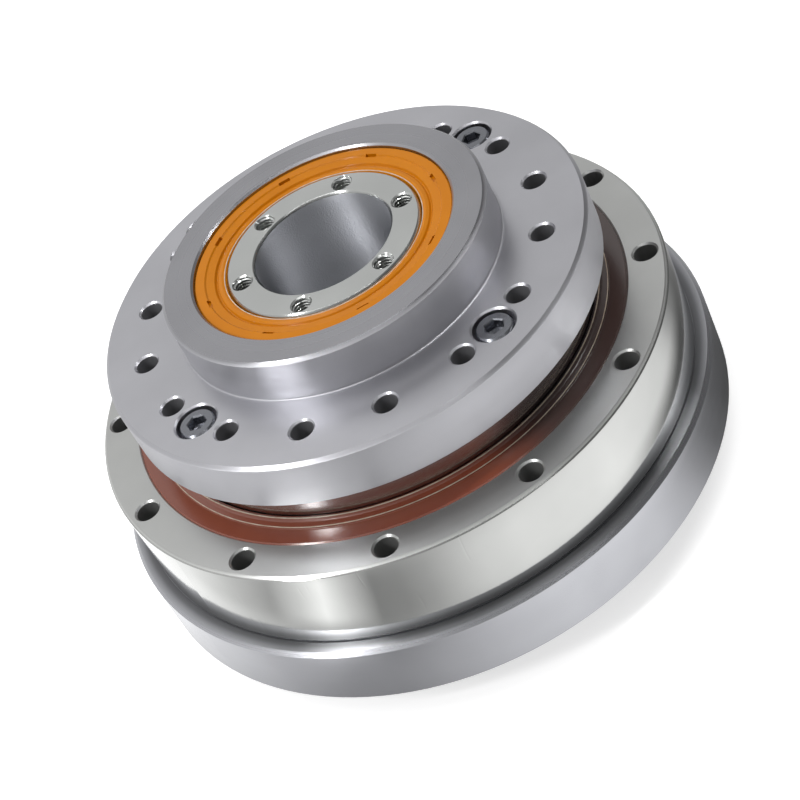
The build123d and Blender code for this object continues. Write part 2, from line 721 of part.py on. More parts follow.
# --- Input side: what turns fast -----------------------------------------------------------------------
def hollow_shaft():
    """Hollow input shaft with its oval cam, two bearing seats and tapped holes in both ends."""
    low = SHAFT_RECESS
    high = Z_SHAFT_TOP
    body = turned(
        (BORE_R + SHAFT_EDGE, low),
        (SHAFT_R - SHAFT_EDGE, low),
        (SHAFT_R, low + SHAFT_EDGE),
        (SHAFT_R, Z_BEARING_LOW + BEARING_W),
        (SHOULDER_R, Z_BEARING_LOW + BEARING_W),
        (SHOULDER_R, Z_BEARING_HIGH),
        (SHAFT_R, Z_BEARING_HIGH),
        (SHAFT_R, high - SHAFT_EDGE),
        (SHAFT_R - SHAFT_EDGE, high),
        (BORE_R + SHAFT_EDGE, high),
        (BORE_R, high - SHAFT_EDGE),
        (BORE_R, low + SHAFT_EDGE),
    )
    z_step = Z_CAM - CAM_SHOULDER
    cam = oval(CAM_R, FLEX_BEARING_W, Z_CAM) + oval(CAM_R + CAM_SHOULDER, CAM_SHOULDER, z_step)
    body += cam - drill(SHOULDER_R - 1.0, z_step - 1.0, Z_CAM + FLEX_BEARING_W + 1.0)
    output_end = drill(M3_DRILL_D / 2, high - M3_DEPTH, high, TAP_SINK)
    input_end = flipped(drill(M25_DRILL_D / 2, high - M25_DEPTH, high, TAP_SINK), Z_TOP)
    return body - around(output_end + input_end, SHAFT_HOLE_PCD, SHAFT_HOLES, 180 / SHAFT_HOLES)


def oval_track():
    """The oval ring of space that the flexible bearing's balls roll in."""
    path = Pos(0, 0, Z_CAM_MID) * Edge.make_ellipse(FLEX_BALL_R + WAVE, FLEX_BALL_R - WAVE)
    section = Plane(origin=path @ 0, z_dir=path % 0) * Circle(FLEX_BALL_D / 2 + ROLL_GAP)
    return sweep(section, path=path)


def flex_bearing_inner_race():
    """Thin inner race of the flexible bearing, sprung on to the cam."""
    inner_r = CAM_R + FIT_GAP
    race = oval_ring(inner_r, inner_r + FLEX_RACE_T, Z_CAM, Z_CAM + FLEX_BEARING_W)
    return race - oval_track()


def flex_bearing_outer_race():
    """Thin outer race of the flexible bearing, inside the toothed end of the flexspline."""
    outer_r = FLEX_BORE_R - FIT_GAP
    race = oval_ring(outer_r - FLEX_RACE_T, outer_r, Z_CAM, Z_CAM + FLEX_BEARING_W)
    return race - oval_track()


def flex_ball_places():
    """Centres of the flexible bearing's balls, as far round the bent ring as the cam carries them."""
    for ball in range(FLEX_BALLS):
        x, y, normal = deflected(FLEX_BALL_R, 2 * pi * ball / FLEX_BALLS)
        yield Pos(x, y, Z_CAM_MID) * Rot(0, 0, degrees(normal))


def flex_bearing_balls():
    """The flexible bearing's balls."""
    return [place * Sphere(FLEX_BALL_D / 2) for place in flex_ball_places()]


def flex_bearing_cage():
    """Moulded cage of the flexible bearing, bent with it, with a round pocket for each ball."""
    half_h = 2.8
    inner_r = CAM_R + FIT_GAP + FLEX_RACE_T + 2 * PLAY
    outer_r = FLEX_BORE_R - FIT_GAP - FLEX_RACE_T - 2 * PLAY
    ring = oval_ring(inner_r, outer_r, Z_CAM_MID - half_h, Z_CAM_MID + half_h)
    return ring - [place * ball_pocket(FLEX_BALL_D) for place in flex_ball_places()]


# --- Write every part ---------------------------------------------------------------------------------
os.makedirs("parts", exist_ok=True)

save("case_housing", case_housing())
save("outer_ring", outer_ring())
save("case_screws", *case_screws())
save("case_o_ring", case_o_ring())
save("flexspline", flexspline())
save("flexspline_screws", *flexspline_screws())
save("large_oil_seal", large_oil_seal())
save("large_seal_spring", large_seal_spring())

save("output_flange", output_flange())
save("circular_spline", circular_spline())
save("inner_ring_upper", inner_ring_upper())
save("inner_ring_lower", inner_ring_lower())
save("output_screws", *output_screws())

save("crossed_rollers", *crossed_rollers())
save("roller_spacers", *roller_spacers())

save("hollow_shaft", hollow_shaft())
save("flex_bearing_inner_race", flex_bearing_inner_race())
save("flex_bearing_balls", *flex_bearing_balls())
save("flex_bearing_cage", flex_bearing_cage())
save("flex_bearing_outer_race", flex_bearing_outer_race())

for end, bearing_z in (("input", Z_BEARING_LOW), ("output", Z_BEARING_HIGH)):
    lift = Pos(0, 0, bearing_z)
    save(f"{end}_bearing_outer_ring", lift * bearing_outer_ring())
    save(f"{end}_bearing_inner_ring", lift * bearing_inner_ring())
    save(f"{end}_bearing_shields", *[lift * shield for shield in bearing_shields()])
    save(f"{end}_bearing_balls", *[lift * ball for ball in bearing_balls()])
    save(f"{end}_bearing_cage", lift * bearing_cage())

seal = Pos(0, 0, Z_TOP - SEAL_RECESS) * shaft_seal()
seal_spring = Pos(0, 0, Z_TOP - SEAL_RECESS) * shaft_seal_spring()
save("output_oil_seal", seal)
save("output_seal_spring", seal_spring)
save("input_oil_seal", flipped(seal, Z_TOP))
save("input_seal_spring", flipped(seal_spring, Z_TOP))
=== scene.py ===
import math

import bmesh
import bpy
from mathutils import Matrix, Vector


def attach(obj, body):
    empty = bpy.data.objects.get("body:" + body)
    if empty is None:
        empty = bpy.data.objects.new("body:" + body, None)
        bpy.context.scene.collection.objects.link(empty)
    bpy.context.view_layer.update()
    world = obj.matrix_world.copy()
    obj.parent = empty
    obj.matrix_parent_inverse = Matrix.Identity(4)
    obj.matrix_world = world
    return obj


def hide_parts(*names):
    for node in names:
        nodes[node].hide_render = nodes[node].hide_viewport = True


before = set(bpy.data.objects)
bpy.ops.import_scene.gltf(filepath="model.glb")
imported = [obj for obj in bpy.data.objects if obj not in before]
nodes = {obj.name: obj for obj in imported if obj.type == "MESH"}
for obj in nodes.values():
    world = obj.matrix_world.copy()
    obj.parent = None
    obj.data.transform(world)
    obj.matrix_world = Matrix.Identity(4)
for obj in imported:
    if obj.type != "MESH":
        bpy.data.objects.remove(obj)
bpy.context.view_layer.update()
MM = 0.001

# === Table, tent and lamps ======================================================================
# The unit stands on its back boss on a white laminate table, in a light tent of white cloth that is
# brighter on one side. One broad softbox hangs over it, and three narrow ones draw bright lines.


def linear(hex_colour):
    """An sRGB colour, such as "#c0c0c4", in the linear values that shaders take."""
    parts = [int(hex_colour[i:i + 2], 16) / 255 for i in (1, 3, 5)]
    return [c / 12.92 if c <= 0.04045 else ((c + 0.055) / 1.055) ** 2.4 for c in parts] + [1.0]


def add(tree, kind, inputs=(), stops=(), **settings):
    """Adds a node with its settings. An input is named, or numbered where names repeat. It takes a
    value, an output, or a node, which stands for its first output. A colour ramp takes its
    (position, grey) stops."""
    made = tree.nodes.new(kind)
    for name, value in settings.items():
        setattr(made, name, value)
    for name, value in dict(inputs).items():
        if isinstance(value, bpy.types.Node):
            value = value.outputs[0]
        if isinstance(value, bpy.types.NodeSocket):
            tree.links.new(value, made.inputs[name])
        else:
            made.inputs[name].default_value = value
    while stops and len(made.color_ramp.elements) < len(stops):
        made.color_ramp.elements.new(1.0)
    for place, (position, grey) in enumerate(stops):
        made.color_ramp.elements[place].position = position
        made.color_ramp.elements[place].color = (grey, grey, grey, 1)
    return made


def new_tree(data):
    """The emptied node tree of a material or a world."""
    data.use_nodes = True
    data.node_tree.nodes.clear()
    return data.node_tree


def toward(azimuth, elevation):
    """The unit vector at that azimuth and elevation, in degrees, seen from the unit."""
    a, e = math.radians(azimuth), math.radians(elevation)
    return Vector((math.cos(a) * math.cos(e), math.sin(a) * math.cos(e), math.sin(e)))


# White melamine laminate: matt to the eye. In what steel mirrors of it, it glows instead with
# painted reflections: folds like the tent's as soft greys, darkened near the unit by a painted
# shadow. The table has three rings of folds, each in pairs of an azimuth in degrees and a
# brightness. The two outer rings fade in over the distances below.
NEAR_FOLDS = [
    (-180, 0.50), (-110, 0.85), (-60, 1.30), (-25, 1.30), (-13, 1.02), (-1, 0.78), (11, 0.57),
    (23, 0.42), (33, 0.41), (41, 0.51), (53, 0.72), (72, 0.94), (84, 0.98), (96, 0.92), (105, 0.68),
    (112, 0.40), (120, 0.20), (132, 0.11), (145, 0.10), (165, 0.16), (180, 0.50),
]
FAR_FOLDS = [
    (-180, 0.50), (-150, 0.70), (-110, 0.90), (-60, 1.25), (-40, 1.40), (-26, 1.20), (-12, 0.86),
    (2, 0.52), (10, 0.98), (17, 1.55), (24, 0.88), (31, 0.32), (38, 0.36), (45, 0.50), (59, 0.95),
    (70, 1.15), (100, 1.22), (116, 1.06), (124, 1.00), (132, 0.92), (138, 0.74), (143, 0.50),
    (150, 0.28), (160, 0.17), (172, 0.25), (180, 0.50),
]
OUTER_FOLDS = [
    (-180, 0.45), (-120, 0.65), (-66, 0.74), (-49, 0.90), (-33, 0.86), (-18, 0.78), (-5, 0.76),
    (9, 0.94), (17, 0.92), (26, 0.62), (34, 0.56), (42, 0.56), (59, 0.76), (76, 0.92), (95, 0.95),
    (109, 0.95), (126, 0.85), (143, 0.73), (159, 0.60), (176, 0.46), (180, 0.45),
]
FOLD_EDGES = [(60 * MM, 64 * MM), (73 * MM, 79 * MM)]
# A painted shadow of the unit on the mirrored folds: a radius in mm, and the share of glow left.
PAINTED_SHADOW, PAINTED_SHADOW_REACH = [(0, 0.8), (25, 0.5), (46, 0.35), (50, 0.85), (56, 1.0)], 100
LAMINATE_GREY, LAMINATE_GLOW = "#e6e6e6", 0.62
bpy.ops.mesh.primitive_plane_add(size=2.0)
table = bpy.context.object
table.name = "table"
laminate = bpy.data.materials.new("white_table_laminate")
tree = new_tree(laminate)
ray = add(tree, "ShaderNodeLightPath").outputs
place = add(tree, "ShaderNodeTexCoord").outputs["Object"]
xyz = add(tree, "ShaderNodeSeparateXYZ", {"Vector": place}).outputs
turn = add(tree, "ShaderNodeMath", {0: xyz["Y"], 1: xyz["X"]}, operation="ARCTAN2")
turn = add(tree, "ShaderNodeMapRange", {0: turn, 1: -math.pi, 2: math.pi})
flat = add(tree, "ShaderNodeCombineXYZ", {"X": xyz["X"], "Y": xyz["Y"]})
reach = add(tree, "ShaderNodeVectorMath", {0: flat}, operation="LENGTH").outputs["Value"]
folds = []
for pairs in (NEAR_FOLDS, FAR_FOLDS, OUTER_FOLDS):
    stops = [(azimuth / 360 + 0.5, grey) for azimuth, grey in pairs]
    folds.append(add(tree, "ShaderNodeValToRGB", {"Fac": turn}, stops))
cloth = folds[0]
for (start, end), fold in zip(FOLD_EDGES, folds[1:]):
    beyond = add(tree, "ShaderNodeMapRange", {0: reach, 1: start, 2: end})
    mix = {0: beyond, 6: cloth, 7: fold}
    cloth = add(tree, "ShaderNodeMix", mix, data_type="RGBA").outputs[2]
close = add(tree, "ShaderNodeMapRange", {0: reach, 2: PAINTED_SHADOW_REACH * MM})
stops = [(radius / PAINTED_SHADOW_REACH, left) for radius, left in PAINTED_SHADOW]
shade = add(tree, "ShaderNodeValToRGB", {"Fac": close}, stops)
mix = {0: 1.0, 6: cloth, 7: shade}
cloth = add(tree, "ShaderNodeMix", mix, data_type="RGBA", blend_type="MULTIPLY").outputs[2]
# Glossy rays see the folds and the painted shadow as a glow: painted reflections, lit by no lamp.
painted_reflection = add(tree, "ShaderNodeEmission", {"Color": cloth})
matt = add(tree, "ShaderNodeBsdfDiffuse", {"Color": linear(LAMINATE_GREY)})
glow = add(tree, "ShaderNodeEmission", {"Strength": LAMINATE_GLOW})
seen = add(tree, "ShaderNodeAddShader", {0: matt, 1: glow})
direct = add(tree, "ShaderNodeMixShader", {"Fac": ray["Is Camera Ray"], 1: matt, 2: seen})
either = add(tree, "ShaderNodeMixShader", {"Fac": ray["Is Glossy Ray"], 1: direct, 2: painted_reflection})
add(tree, "ShaderNodeOutputMaterial", {"Surface": either})
table.data.materials.append(laminate)

# Tent cloth: bright on one side and grey on the other, so that turned faces shade off. The greys
# run from the dark side, at 0, to the bright side, at 1.
BRIGHT_SIDE = toward(-70, 45)
TENT_GREYS = [
    (0.0, 0.05), (0.35, 0.08), (0.45, 0.16), (0.52, 0.24), (0.64, 0.31), (0.80, 0.55),
    (0.906, 0.66), (1.0, 0.80),
]
tent = bpy.data.worlds.new("light_tent")
bpy.context.scene.world = tent
tree = new_tree(tent)
ray = add(tree, "ShaderNodeLightPath").outputs
way = add(tree, "ShaderNodeTexCoord").outputs["Generated"]
facing = add(tree, "ShaderNodeVectorMath", {0: way, 1: BRIGHT_SIDE}, operation="DOT_PRODUCT")
side = add(tree, "ShaderNodeMapRange", {0: facing.outputs["Value"], 1: -1.0})
cloth = add(tree, "ShaderNodeValToRGB", {"Fac": side}, TENT_GREYS)
lit = add(tree, "ShaderNodeBackground", {"Color": cloth})
paper = add(tree, "ShaderNodeBackground", {"Color": linear("#ffffff")})
shown = add(tree, "ShaderNodeMixShader", {"Fac": ray["Is Camera Ray"], 1: lit, 2: paper})
add(tree, "ShaderNodeOutputWorld", {"Surface": shown})

# name, azimuth and elevation in degrees, distance, width and height in metres, radiance
SOFTBOXES = [
    ("key_softbox", -45, 72, 0.6, 0.50, 0.30, 1.7),
    ("long_softbox", 45, 56, 0.6, 0.80, 0.04, 3.0),
    ("side_softbox", -5, 40, 0.7, 0.08, 0.20, 27.0),
    ("strip_softbox", 157, 62, 0.6, 0.014, 0.40, 60.0),
]
MIDDLE = Vector((0, 0, 30 * MM))  # of the unit, which every softbox faces
for name, azimuth, elevation, distance, width, height, radiance in SOFTBOXES:
    lamp = bpy.data.lights.new(name, "AREA")
    lamp.shape = "RECTANGLE"
    lamp.size, lamp.size_y = width, height
    lamp.energy = radiance * math.pi * width * height
    softbox = bpy.data.objects.new(name, lamp)
    bpy.context.scene.collection.objects.link(softbox)
    away = toward(azimuth, elevation)
    facing = (-away).to_track_quat("-Z", "Y").to_matrix().to_4x4()
    softbox.matrix_world = Matrix.Translation(MIDDLE + away * distance) @ facing

# The camera is held tilted, and its place is in metres.
CAMERA_PLACE, CAMERA_AZIMUTH, CAMERA_ELEVATION = (0.1097, 0.2004, 0.2083), 61.55, 39.80
CAMERA_TILT, LENS = -28.47, 87.4
camera = bpy.data.objects.new("camera", bpy.data.cameras.new("camera"))
bpy.context.scene.collection.objects.link(camera)
camera.data.lens = LENS
camera.data.clip_start = 10 * MM
facing = -toward(CAMERA_AZIMUTH, CAMERA_ELEVATION)
facing = facing.to_track_quat("-Z", "Y").to_matrix().to_4x4()
held = Matrix.Rotation(math.radians(CAMERA_TILT), 4, "Z")
camera.matrix_world = Matrix.Translation(CAMERA_PLACE) @ facing @ held
bpy.context.scene.camera = camera
bpy.context.scene.view_settings.view_transform = "Standard"

# === Case =======================================================================================
# The stepped case is turned from a steel bar and closes the back of the unit. Its tool leaves fine
# rings round the axis. The narrow step under the ring, which the tool's corner cuts, is dull, and
# it is darkened there with painted shade of the gap under the ring.

# A groove wanders slowly on its way round, and a band of like grooves is about eight feeds wide.
WANDER, BAND = 0.25, 0.12
CLOUD = 14.3  # mm across a patch of slightly lighter or darker metal
NOISE_LOW, NOISE_HIGH = 0.3, 0.7  # most of what a noise gives lies between these
CLOUD_DARK, CLOUD_LIGHT, BAND_SPREAD = 0.94, 1.05, 0.1
ACROSS = 0.25  # of a turn, which lays a highlight's stretch across the marks
ZONE_REACH = 50  # mm from the axis, past everything that is turned
# A drilled hole's sunk rim reaches this far out in mm, and its wall starts this far out.
RIM_REACH, RIM_BRIGHTNESS, RIM_ROUGHNESS = 0.33, 0.95, 0.35
WALL_REACH, WALL_BRIGHTNESS, WALL_ROUGHNESS, WALL_METAL = 0.04, 0.30, 0.55, 0.4
# A handling mark's length and width in mm, the turn in radians that sets it askew, and the rare
# heights of the noise at which a mark starts and is full.
MARK_LENGTH, MARK_WIDTH, MARK_TURN, MARK_STARTS, MARK_FULL = 6.25, 0.667, 0.6, 0.68, 0.78


def round_axis(tree, flat):
    """The direction round the axis at each point, along which a tool's marks run."""
    along = {0: (0.0, 0.0, 1.0), 1: flat}
    along = add(tree, "ShaderNodeVectorMath", along, operation="CROSS_PRODUCT")
    spaces = {"vector_type": "VECTOR", "convert_from": "OBJECT", "convert_to": "WORLD"}
    along = add(tree, "ShaderNodeVectorTransform", {"Vector": along}, **spaces)
    return add(tree, "ShaderNodeVectorMath", {0: along}, operation="NORMALIZE")


def turned_steel(
    name, colour, roughness, feed, depth, stretch, zones=(), holes=(), scratches=0.0, grain=(),
):
    """Bearing steel cut on a lathe or ground, whose rings stretch each highlight across them. The
    feed and the depth of the rings are in mm. A ground or lapped face has rings too fine to show,
    so they are drawn at 0.2 mm or more. Zones are (radius in mm, brightness, roughness), as
    factors, where another pass cut the face. Holes are (count, first angle, circle radius, radius)
    in mm: their drilled walls are dull and their sunk rims bright. Scratches are the depth of
    handling marks, and grain is the size and depth of a honed or blasted texture, in mm."""
    made = bpy.data.materials.new(name)
    tree = new_tree(made)
    place = add(tree, "ShaderNodeTexCoord").outputs["Object"]
    xyz = add(tree, "ShaderNodeSeparateXYZ", {"Vector": place}).outputs
    flat = add(tree, "ShaderNodeCombineXYZ", {"X": xyz["X"], "Y": xyz["Y"]})
    radius = add(tree, "ShaderNodeVectorMath", {0: flat}, operation="LENGTH").outputs["Value"]
    unit = add(tree, "ShaderNodeVectorMath", {0: flat}, operation="NORMALIZE")
    slow = {0: unit, "Scale": WANDER / feed}
    slow = add(tree, "ShaderNodeVectorMath", slow, operation="SCALE")
    slow = add(tree, "ShaderNodeSeparateXYZ", {"Vector": slow}).outputs
    across = add(tree, "ShaderNodeMath", {0: radius, 1: 1 / (feed * MM)}, operation="MULTIPLY")
    up = add(tree, "ShaderNodeMath", {0: xyz["Z"], 1: 1 / (feed * MM)}, operation="MULTIPLY")
    rings = add(tree, "ShaderNodeCombineXYZ", {"X": across, "Y": up, "Z": slow["X"]})
    fine = {"Vector": rings, "W": slow["Y"], "Scale": 1.0, "Detail": 2.0}
    grooves = add(tree, "ShaderNodeTexNoise", fine, noise_dimensions="4D")
    wide = {"Vector": rings, "W": slow["Y"], "Scale": BAND, "Detail": 1.0}
    bands = add(tree, "ShaderNodeTexNoise", wide, noise_dimensions="4D")
    cloud = {"Vector": place, "Scale": 1 / (CLOUD * MM), "Detail": 3.0}
    cloud = add(tree, "ShaderNodeTexNoise", cloud)
    level = {0: cloud, 1: NOISE_LOW, 2: NOISE_HIGH, 3: CLOUD_DARK, 4: CLOUD_LIGHT}
    level = add(tree, "ShaderNodeMapRange", level)
    low, high = roughness * (1 - BAND_SPREAD), roughness * (1 + BAND_SPREAD)
    rough = {0: bands, 1: NOISE_LOW, 2: NOISE_HIGH, 3: low, 4: high}
    rough = add(tree, "ShaderNodeMapRange", rough)
    metal = 1.0
    if zones:
        out = add(tree, "ShaderNodeMapRange", {0: radius, 2: ZONE_REACH * MM})
        lighter = [(edge / ZONE_REACH, factor) for edge, factor, _ in zones]
        duller = [(edge / ZONE_REACH, factor) for edge, _, factor in zones]
        lighter = add(tree, "ShaderNodeValToRGB", {"Fac": out}, lighter)
        duller = add(tree, "ShaderNodeValToRGB", {"Fac": out}, duller)
        level = add(tree, "ShaderNodeMath", {0: level, 1: lighter}, operation="MULTIPLY")
        rough = add(tree, "ShaderNodeMath", {0: rough, 1: duller}, operation="MULTIPLY")
    if holes:
        count, first, circle, hole = holes
        turn = add(tree, "ShaderNodeMath", {0: xyz["Y"], 1: xyz["X"]}, operation="ARCTAN2")
        turn = {0: turn, 1: math.radians(first)}
        turn = add(tree, "ShaderNodeMath", turn, operation="SUBTRACT")
        half = math.pi / count
        turn = add(tree, "ShaderNodeMath", {0: turn, 1: half, 2: -half}, operation="WRAP")
        aside = add(tree, "ShaderNodeMath", {0: turn, 1: radius}, operation="MULTIPLY")
        beyond = add(tree, "ShaderNodeMath", {0: radius, 1: circle * MM}, operation="SUBTRACT")
        off = add(tree, "ShaderNodeCombineXYZ", {"X": aside, "Y": beyond})
        off = add(tree, "ShaderNodeVectorMath", {0: off}, operation="LENGTH").outputs["Value"]
        rim = {0: off, 1: (hole + RIM_REACH) * MM}
        rim = add(tree, "ShaderNodeMath", rim, operation="LESS_THAN")
        rough = add(tree, "ShaderNodeMix", {0: rim, 2: rough, 3: RIM_ROUGHNESS})
        level = add(tree, "ShaderNodeMix", {0: rim, 2: level, 3: RIM_BRIGHTNESS})
        inside = {0: off, 1: (hole + WALL_REACH) * MM}
        inside = add(tree, "ShaderNodeMath", inside, operation="LESS_THAN")
        rough = add(tree, "ShaderNodeMix", {0: inside, 2: rough, 3: WALL_ROUGHNESS})
        metal = add(tree, "ShaderNodeMix", {0: inside, 2: metal, 3: WALL_METAL})
        level = add(tree, "ShaderNodeMix", {0: inside, 2: level, 3: WALL_BRIGHTNESS})
    tint = {0: linear(colour)[:3], "Scale": level}
    tint = add(tree, "ShaderNodeVectorMath", tint, operation="SCALE")
    bump = {"Height": grooves, "Strength": 1.0, "Distance": depth * MM}
    bump = add(tree, "ShaderNodeBump", bump)
    if scratches:
        size = [1 / (length * MM) for length in (MARK_LENGTH, MARK_WIDTH, MARK_LENGTH)]
        drawn = {"Vector": place, "Rotation": (0, 0, MARK_TURN), "Scale": size}
        drawn = add(tree, "ShaderNodeMapping", drawn)
        marks = {"Vector": drawn, "Scale": 1.0, "Detail": 1.0, "Distortion": 0.6}
        marks = add(tree, "ShaderNodeTexNoise", marks)
        marks = add(tree, "ShaderNodeMapRange", {0: marks, 1: MARK_STARTS, 2: MARK_FULL})
        cut = {"Height": marks, "Strength": 1.0, "Distance": -scratches * MM, "Normal": bump}
        bump = add(tree, "ShaderNodeBump", cut)
    if grain:
        grain_size, grain_depth = grain
        spots = {"Vector": place, "Scale": 1 / (grain_size * MM), "Detail": 1.0}
        spots = add(tree, "ShaderNodeTexNoise", spots)
        cut = {"Height": spots, "Strength": 1.0, "Distance": grain_depth * MM, "Normal": bump}
        bump = add(tree, "ShaderNodeBump", cut)
    skin = {
        "Base Color": tint, "Metallic": metal, "Roughness": rough, "Anisotropic": stretch,
        "Anisotropic Rotation": ACROSS, "Tangent": round_axis(tree, flat), "Normal": bump,
    }
    skin = add(tree, "ShaderNodeBsdfPrincipled", skin)
    add(tree, "ShaderNodeOutputMaterial", {"Surface": skin})
    return made


def dress(material, *names):
    """Gives the CAD nodes' objects their finish."""
    for name in names:
        for slot in nodes[name].material_slots:
            slot.material = material


# Fine-turned case steel: a satin grey whose rings can just be seen, and dull on the step, which is
# darkened by painted shade.
case_steel = turned_steel(
    "fine_turned_case_steel", "#cacbd0", 0.24, feed=0.30, depth=0.0015, stretch=0.1,
    zones=[
        # On the step, the brightness is painted shade and the roughness is the dull cut.
        (0, 1, 1), (44.8, 1, 1), (45.0, 0.22, 1.6), (45.8, 0.30, 1.6), (46.5, 0.60, 1.4),
        (47.0, 0.80, 1.2), (47.15, 1, 1), (50, 1, 1),
    ],
)
dress(case_steel, "case_housing")

# === Outer ring and its O-ring ==================================================================
# The ring is both the mounting flange and the outer race of the crossed roller bearing. It is
# hardened and ground, drilled right through, and an O-ring of black rubber seals it to the case.

# Ground ring steel: its wall is nearly a mirror, drawn into soft streaks, and its face is satin,
# with a rougher chamfer between them that is painted brighter as a highlight, and a few marks from
# handling.
ring_steel = turned_steel(
    "ground_ring_steel", "#cdcecc", 0.09, feed=0.25, depth=0.0004, stretch=0.4,
    zones=[
        # The chamfer's brightness of 1.2 is a painted highlight.
        (0, 0.97, 3.4), (44.6, 0.97, 3.4), (44.66, 1.2, 4.2), (44.86, 1.2, 4.2), (44.92, 1, 1),
        (50, 1, 1),
    ],
    holes=(12, 15, 42, 1.75), scratches=0.006,
)
dress(ring_steel, "outer_ring")

# The mould's mottle and the rubber's pores in mm. Real pores are finer, and wouldn't show.
MOTTLE, PORE = 6.25, 0.4
PAINTED_SHADE_STARTS, PAINTED_SHADE_FULL = 12, -8  # degrees past the edge of the stretch of painted shade


def moulded_rubber(name, colour, shade, roughness, shine, stretch, grain, shaded_stretch=()):
    """Rubber pressed in a turned steel mould, whose faint rings stretch its highlights. Its two
    tones are where the mould was hotter. The grain's depth is in mm. A shaded stretch is (colour,
    middle, half width) in degrees of a stretch darkened by painted shade."""
    made = bpy.data.materials.new(name)
    tree = new_tree(made)
    place = add(tree, "ShaderNodeTexCoord").outputs["Object"]
    xyz = add(tree, "ShaderNodeSeparateXYZ", {"Vector": place}).outputs
    flat = add(tree, "ShaderNodeCombineXYZ", {"X": xyz["X"], "Y": xyz["Y"]})
    mottle = {"Vector": place, "Scale": 1 / (MOTTLE * MM), "Detail": 3.0}
    mottle = add(tree, "ShaderNodeTexNoise", mottle)
    mix = {0: mottle, 6: linear(shade), 7: linear(colour)}
    tint = add(tree, "ShaderNodeMix", mix, data_type="RGBA").outputs[2]
    # Painted shade: a stretch round the middle azimuth is darkened toward its own colour.
    if shaded_stretch:
        shade_tone, middle, spread = shaded_stretch
        unit = add(tree, "ShaderNodeVectorMath", {0: flat}, operation="NORMALIZE")
        near = {0: unit, 1: toward(middle, 0)}
        near = add(tree, "ShaderNodeVectorMath", near, operation="DOT_PRODUCT").outputs["Value"]
        start, full = [math.cos(math.radians(spread + s)) for s in (PAINTED_SHADE_STARTS, PAINTED_SHADE_FULL)]
        in_shade = {0: near, 1: start, 2: full}
        in_shade = add(tree, "ShaderNodeMapRange", in_shade, interpolation_type="SMOOTHSTEP")
        mix = {0: in_shade, 6: tint, 7: linear(shade_tone)}
        tint = add(tree, "ShaderNodeMix", mix, data_type="RGBA").outputs[2]
    pores = {"Vector": place, "Scale": 1 / (PORE * MM), "Detail": 1.0}
    pores = add(tree, "ShaderNodeTexNoise", pores)
    bump = add(tree, "ShaderNodeBump", {"Height": pores, "Strength": 1.0, "Distance": grain * MM})
    skin = {
        "Base Color": tint, "Roughness": roughness, "Specular IOR Level": shine,
        "Anisotropic": stretch, "Anisotropic Rotation": ACROSS, "Tangent": round_axis(tree, flat),
        "Normal": bump,
    }
    skin = add(tree, "ShaderNodeBsdfPrincipled", skin)
    add(tree, "ShaderNodeOutputMaterial", {"Surface": skin})
    return made


# Black nitrile rubber: dark grey with a broad, weak shine.
black_rubber = moulded_rubber(
    "black_nitrile_rubber", "#2a2a2b", "#1f1f20", 0.42, 0.5, stretch=0.0, grain=0.004,
)
dress(black_rubber, "case_o_ring")

# === Case screws ================================================================================
# Four M3 socket head cap screws come up through the case and pull it against the ring. Each is cold
# headed, knurled, thread rolled and oiled black. The same tree makes every screw in the unit.


def baked(made):
    """Turns an object and its modifiers into a plain mesh."""
    seen = made.evaluated_get(bpy.context.evaluated_depsgraph_get())
    shape = bpy.data.meshes.new_from_object(seen)
    made.modifiers.clear()
    made.data = shape
    return shape


def grown(name, tree, **sizes):
    """The plain mesh that a geometry tree makes from these sizes, as an object at the origin."""
    made = bpy.data.objects.new(name, bpy.data.meshes.new(name))
    bpy.context.scene.collection.objects.link(made)
    maker = made.modifiers.new(name, "NODES")
    maker.node_group = tree
    for item in tree.interface.items_tree:
        if item.in_out == "INPUT":
            value = sizes.get(item.name.lower().replace(" ", "_"))
            if value is not None:
                maker[item.identifier] = value
    baked(made).name = name
    return made


def unrolled(tree, sides, rows, last):
    """A flat grid to be wrapped round an axis, with each point's share of the way round, its angle
    and its row, which runs up to the last."""
    grid = {"Size X": 1.0, "Size Y": 1.0, "Vertices X": sides + 1, "Vertices Y": rows}
    grid = add(tree, "GeometryNodeMeshGrid", grid)
    spot = add(tree, "ShaderNodeSeparateXYZ", {0: add(tree, "GeometryNodeInputPosition")}).outputs
    around = add(tree, "ShaderNodeMath", {0: spot["X"], 1: 0.5}, operation="ADD")
    angle = add(tree, "ShaderNodeMath", {0: around, 1: math.tau}, operation="MULTIPLY")
    row = add(tree, "ShaderNodeMath", {0: spot["Y"], 1: 0.5}, operation="ADD")
    row = add(tree, "ShaderNodeMath", {0: row, 1: last}, operation="MULTIPLY")
    row = add(tree, "ShaderNodeMath", {0: row}, operation="ROUND")
    return grid, around, angle, row


def wrapped(tree, grid, angle, radius, height):
    """The grid wrapped round the axis, with its seam and its poles welded."""
    x = add(tree, "ShaderNodeMath", {0: angle}, operation="COSINE")
    y = add(tree, "ShaderNodeMath", {0: angle}, operation="SINE")
    arm = add(tree, "ShaderNodeCombineXYZ", {"X": x, "Y": y})
    arm = add(tree, "ShaderNodeVectorMath", {0: arm, "Scale": radius}, operation="SCALE")
    rise = add(tree, "ShaderNodeCombineXYZ", {"Z": height})
    spot = add(tree, "ShaderNodeVectorMath", {0: arm, 1: rise}, operation="ADD")
    shape = add(tree, "GeometryNodeSetPosition", {"Geometry": grid, "Position": spot})
    weld = {"Geometry": shape, "Distance": 0.001 * MM}
    return add(tree, "GeometryNodeMergeByDistance", weld)


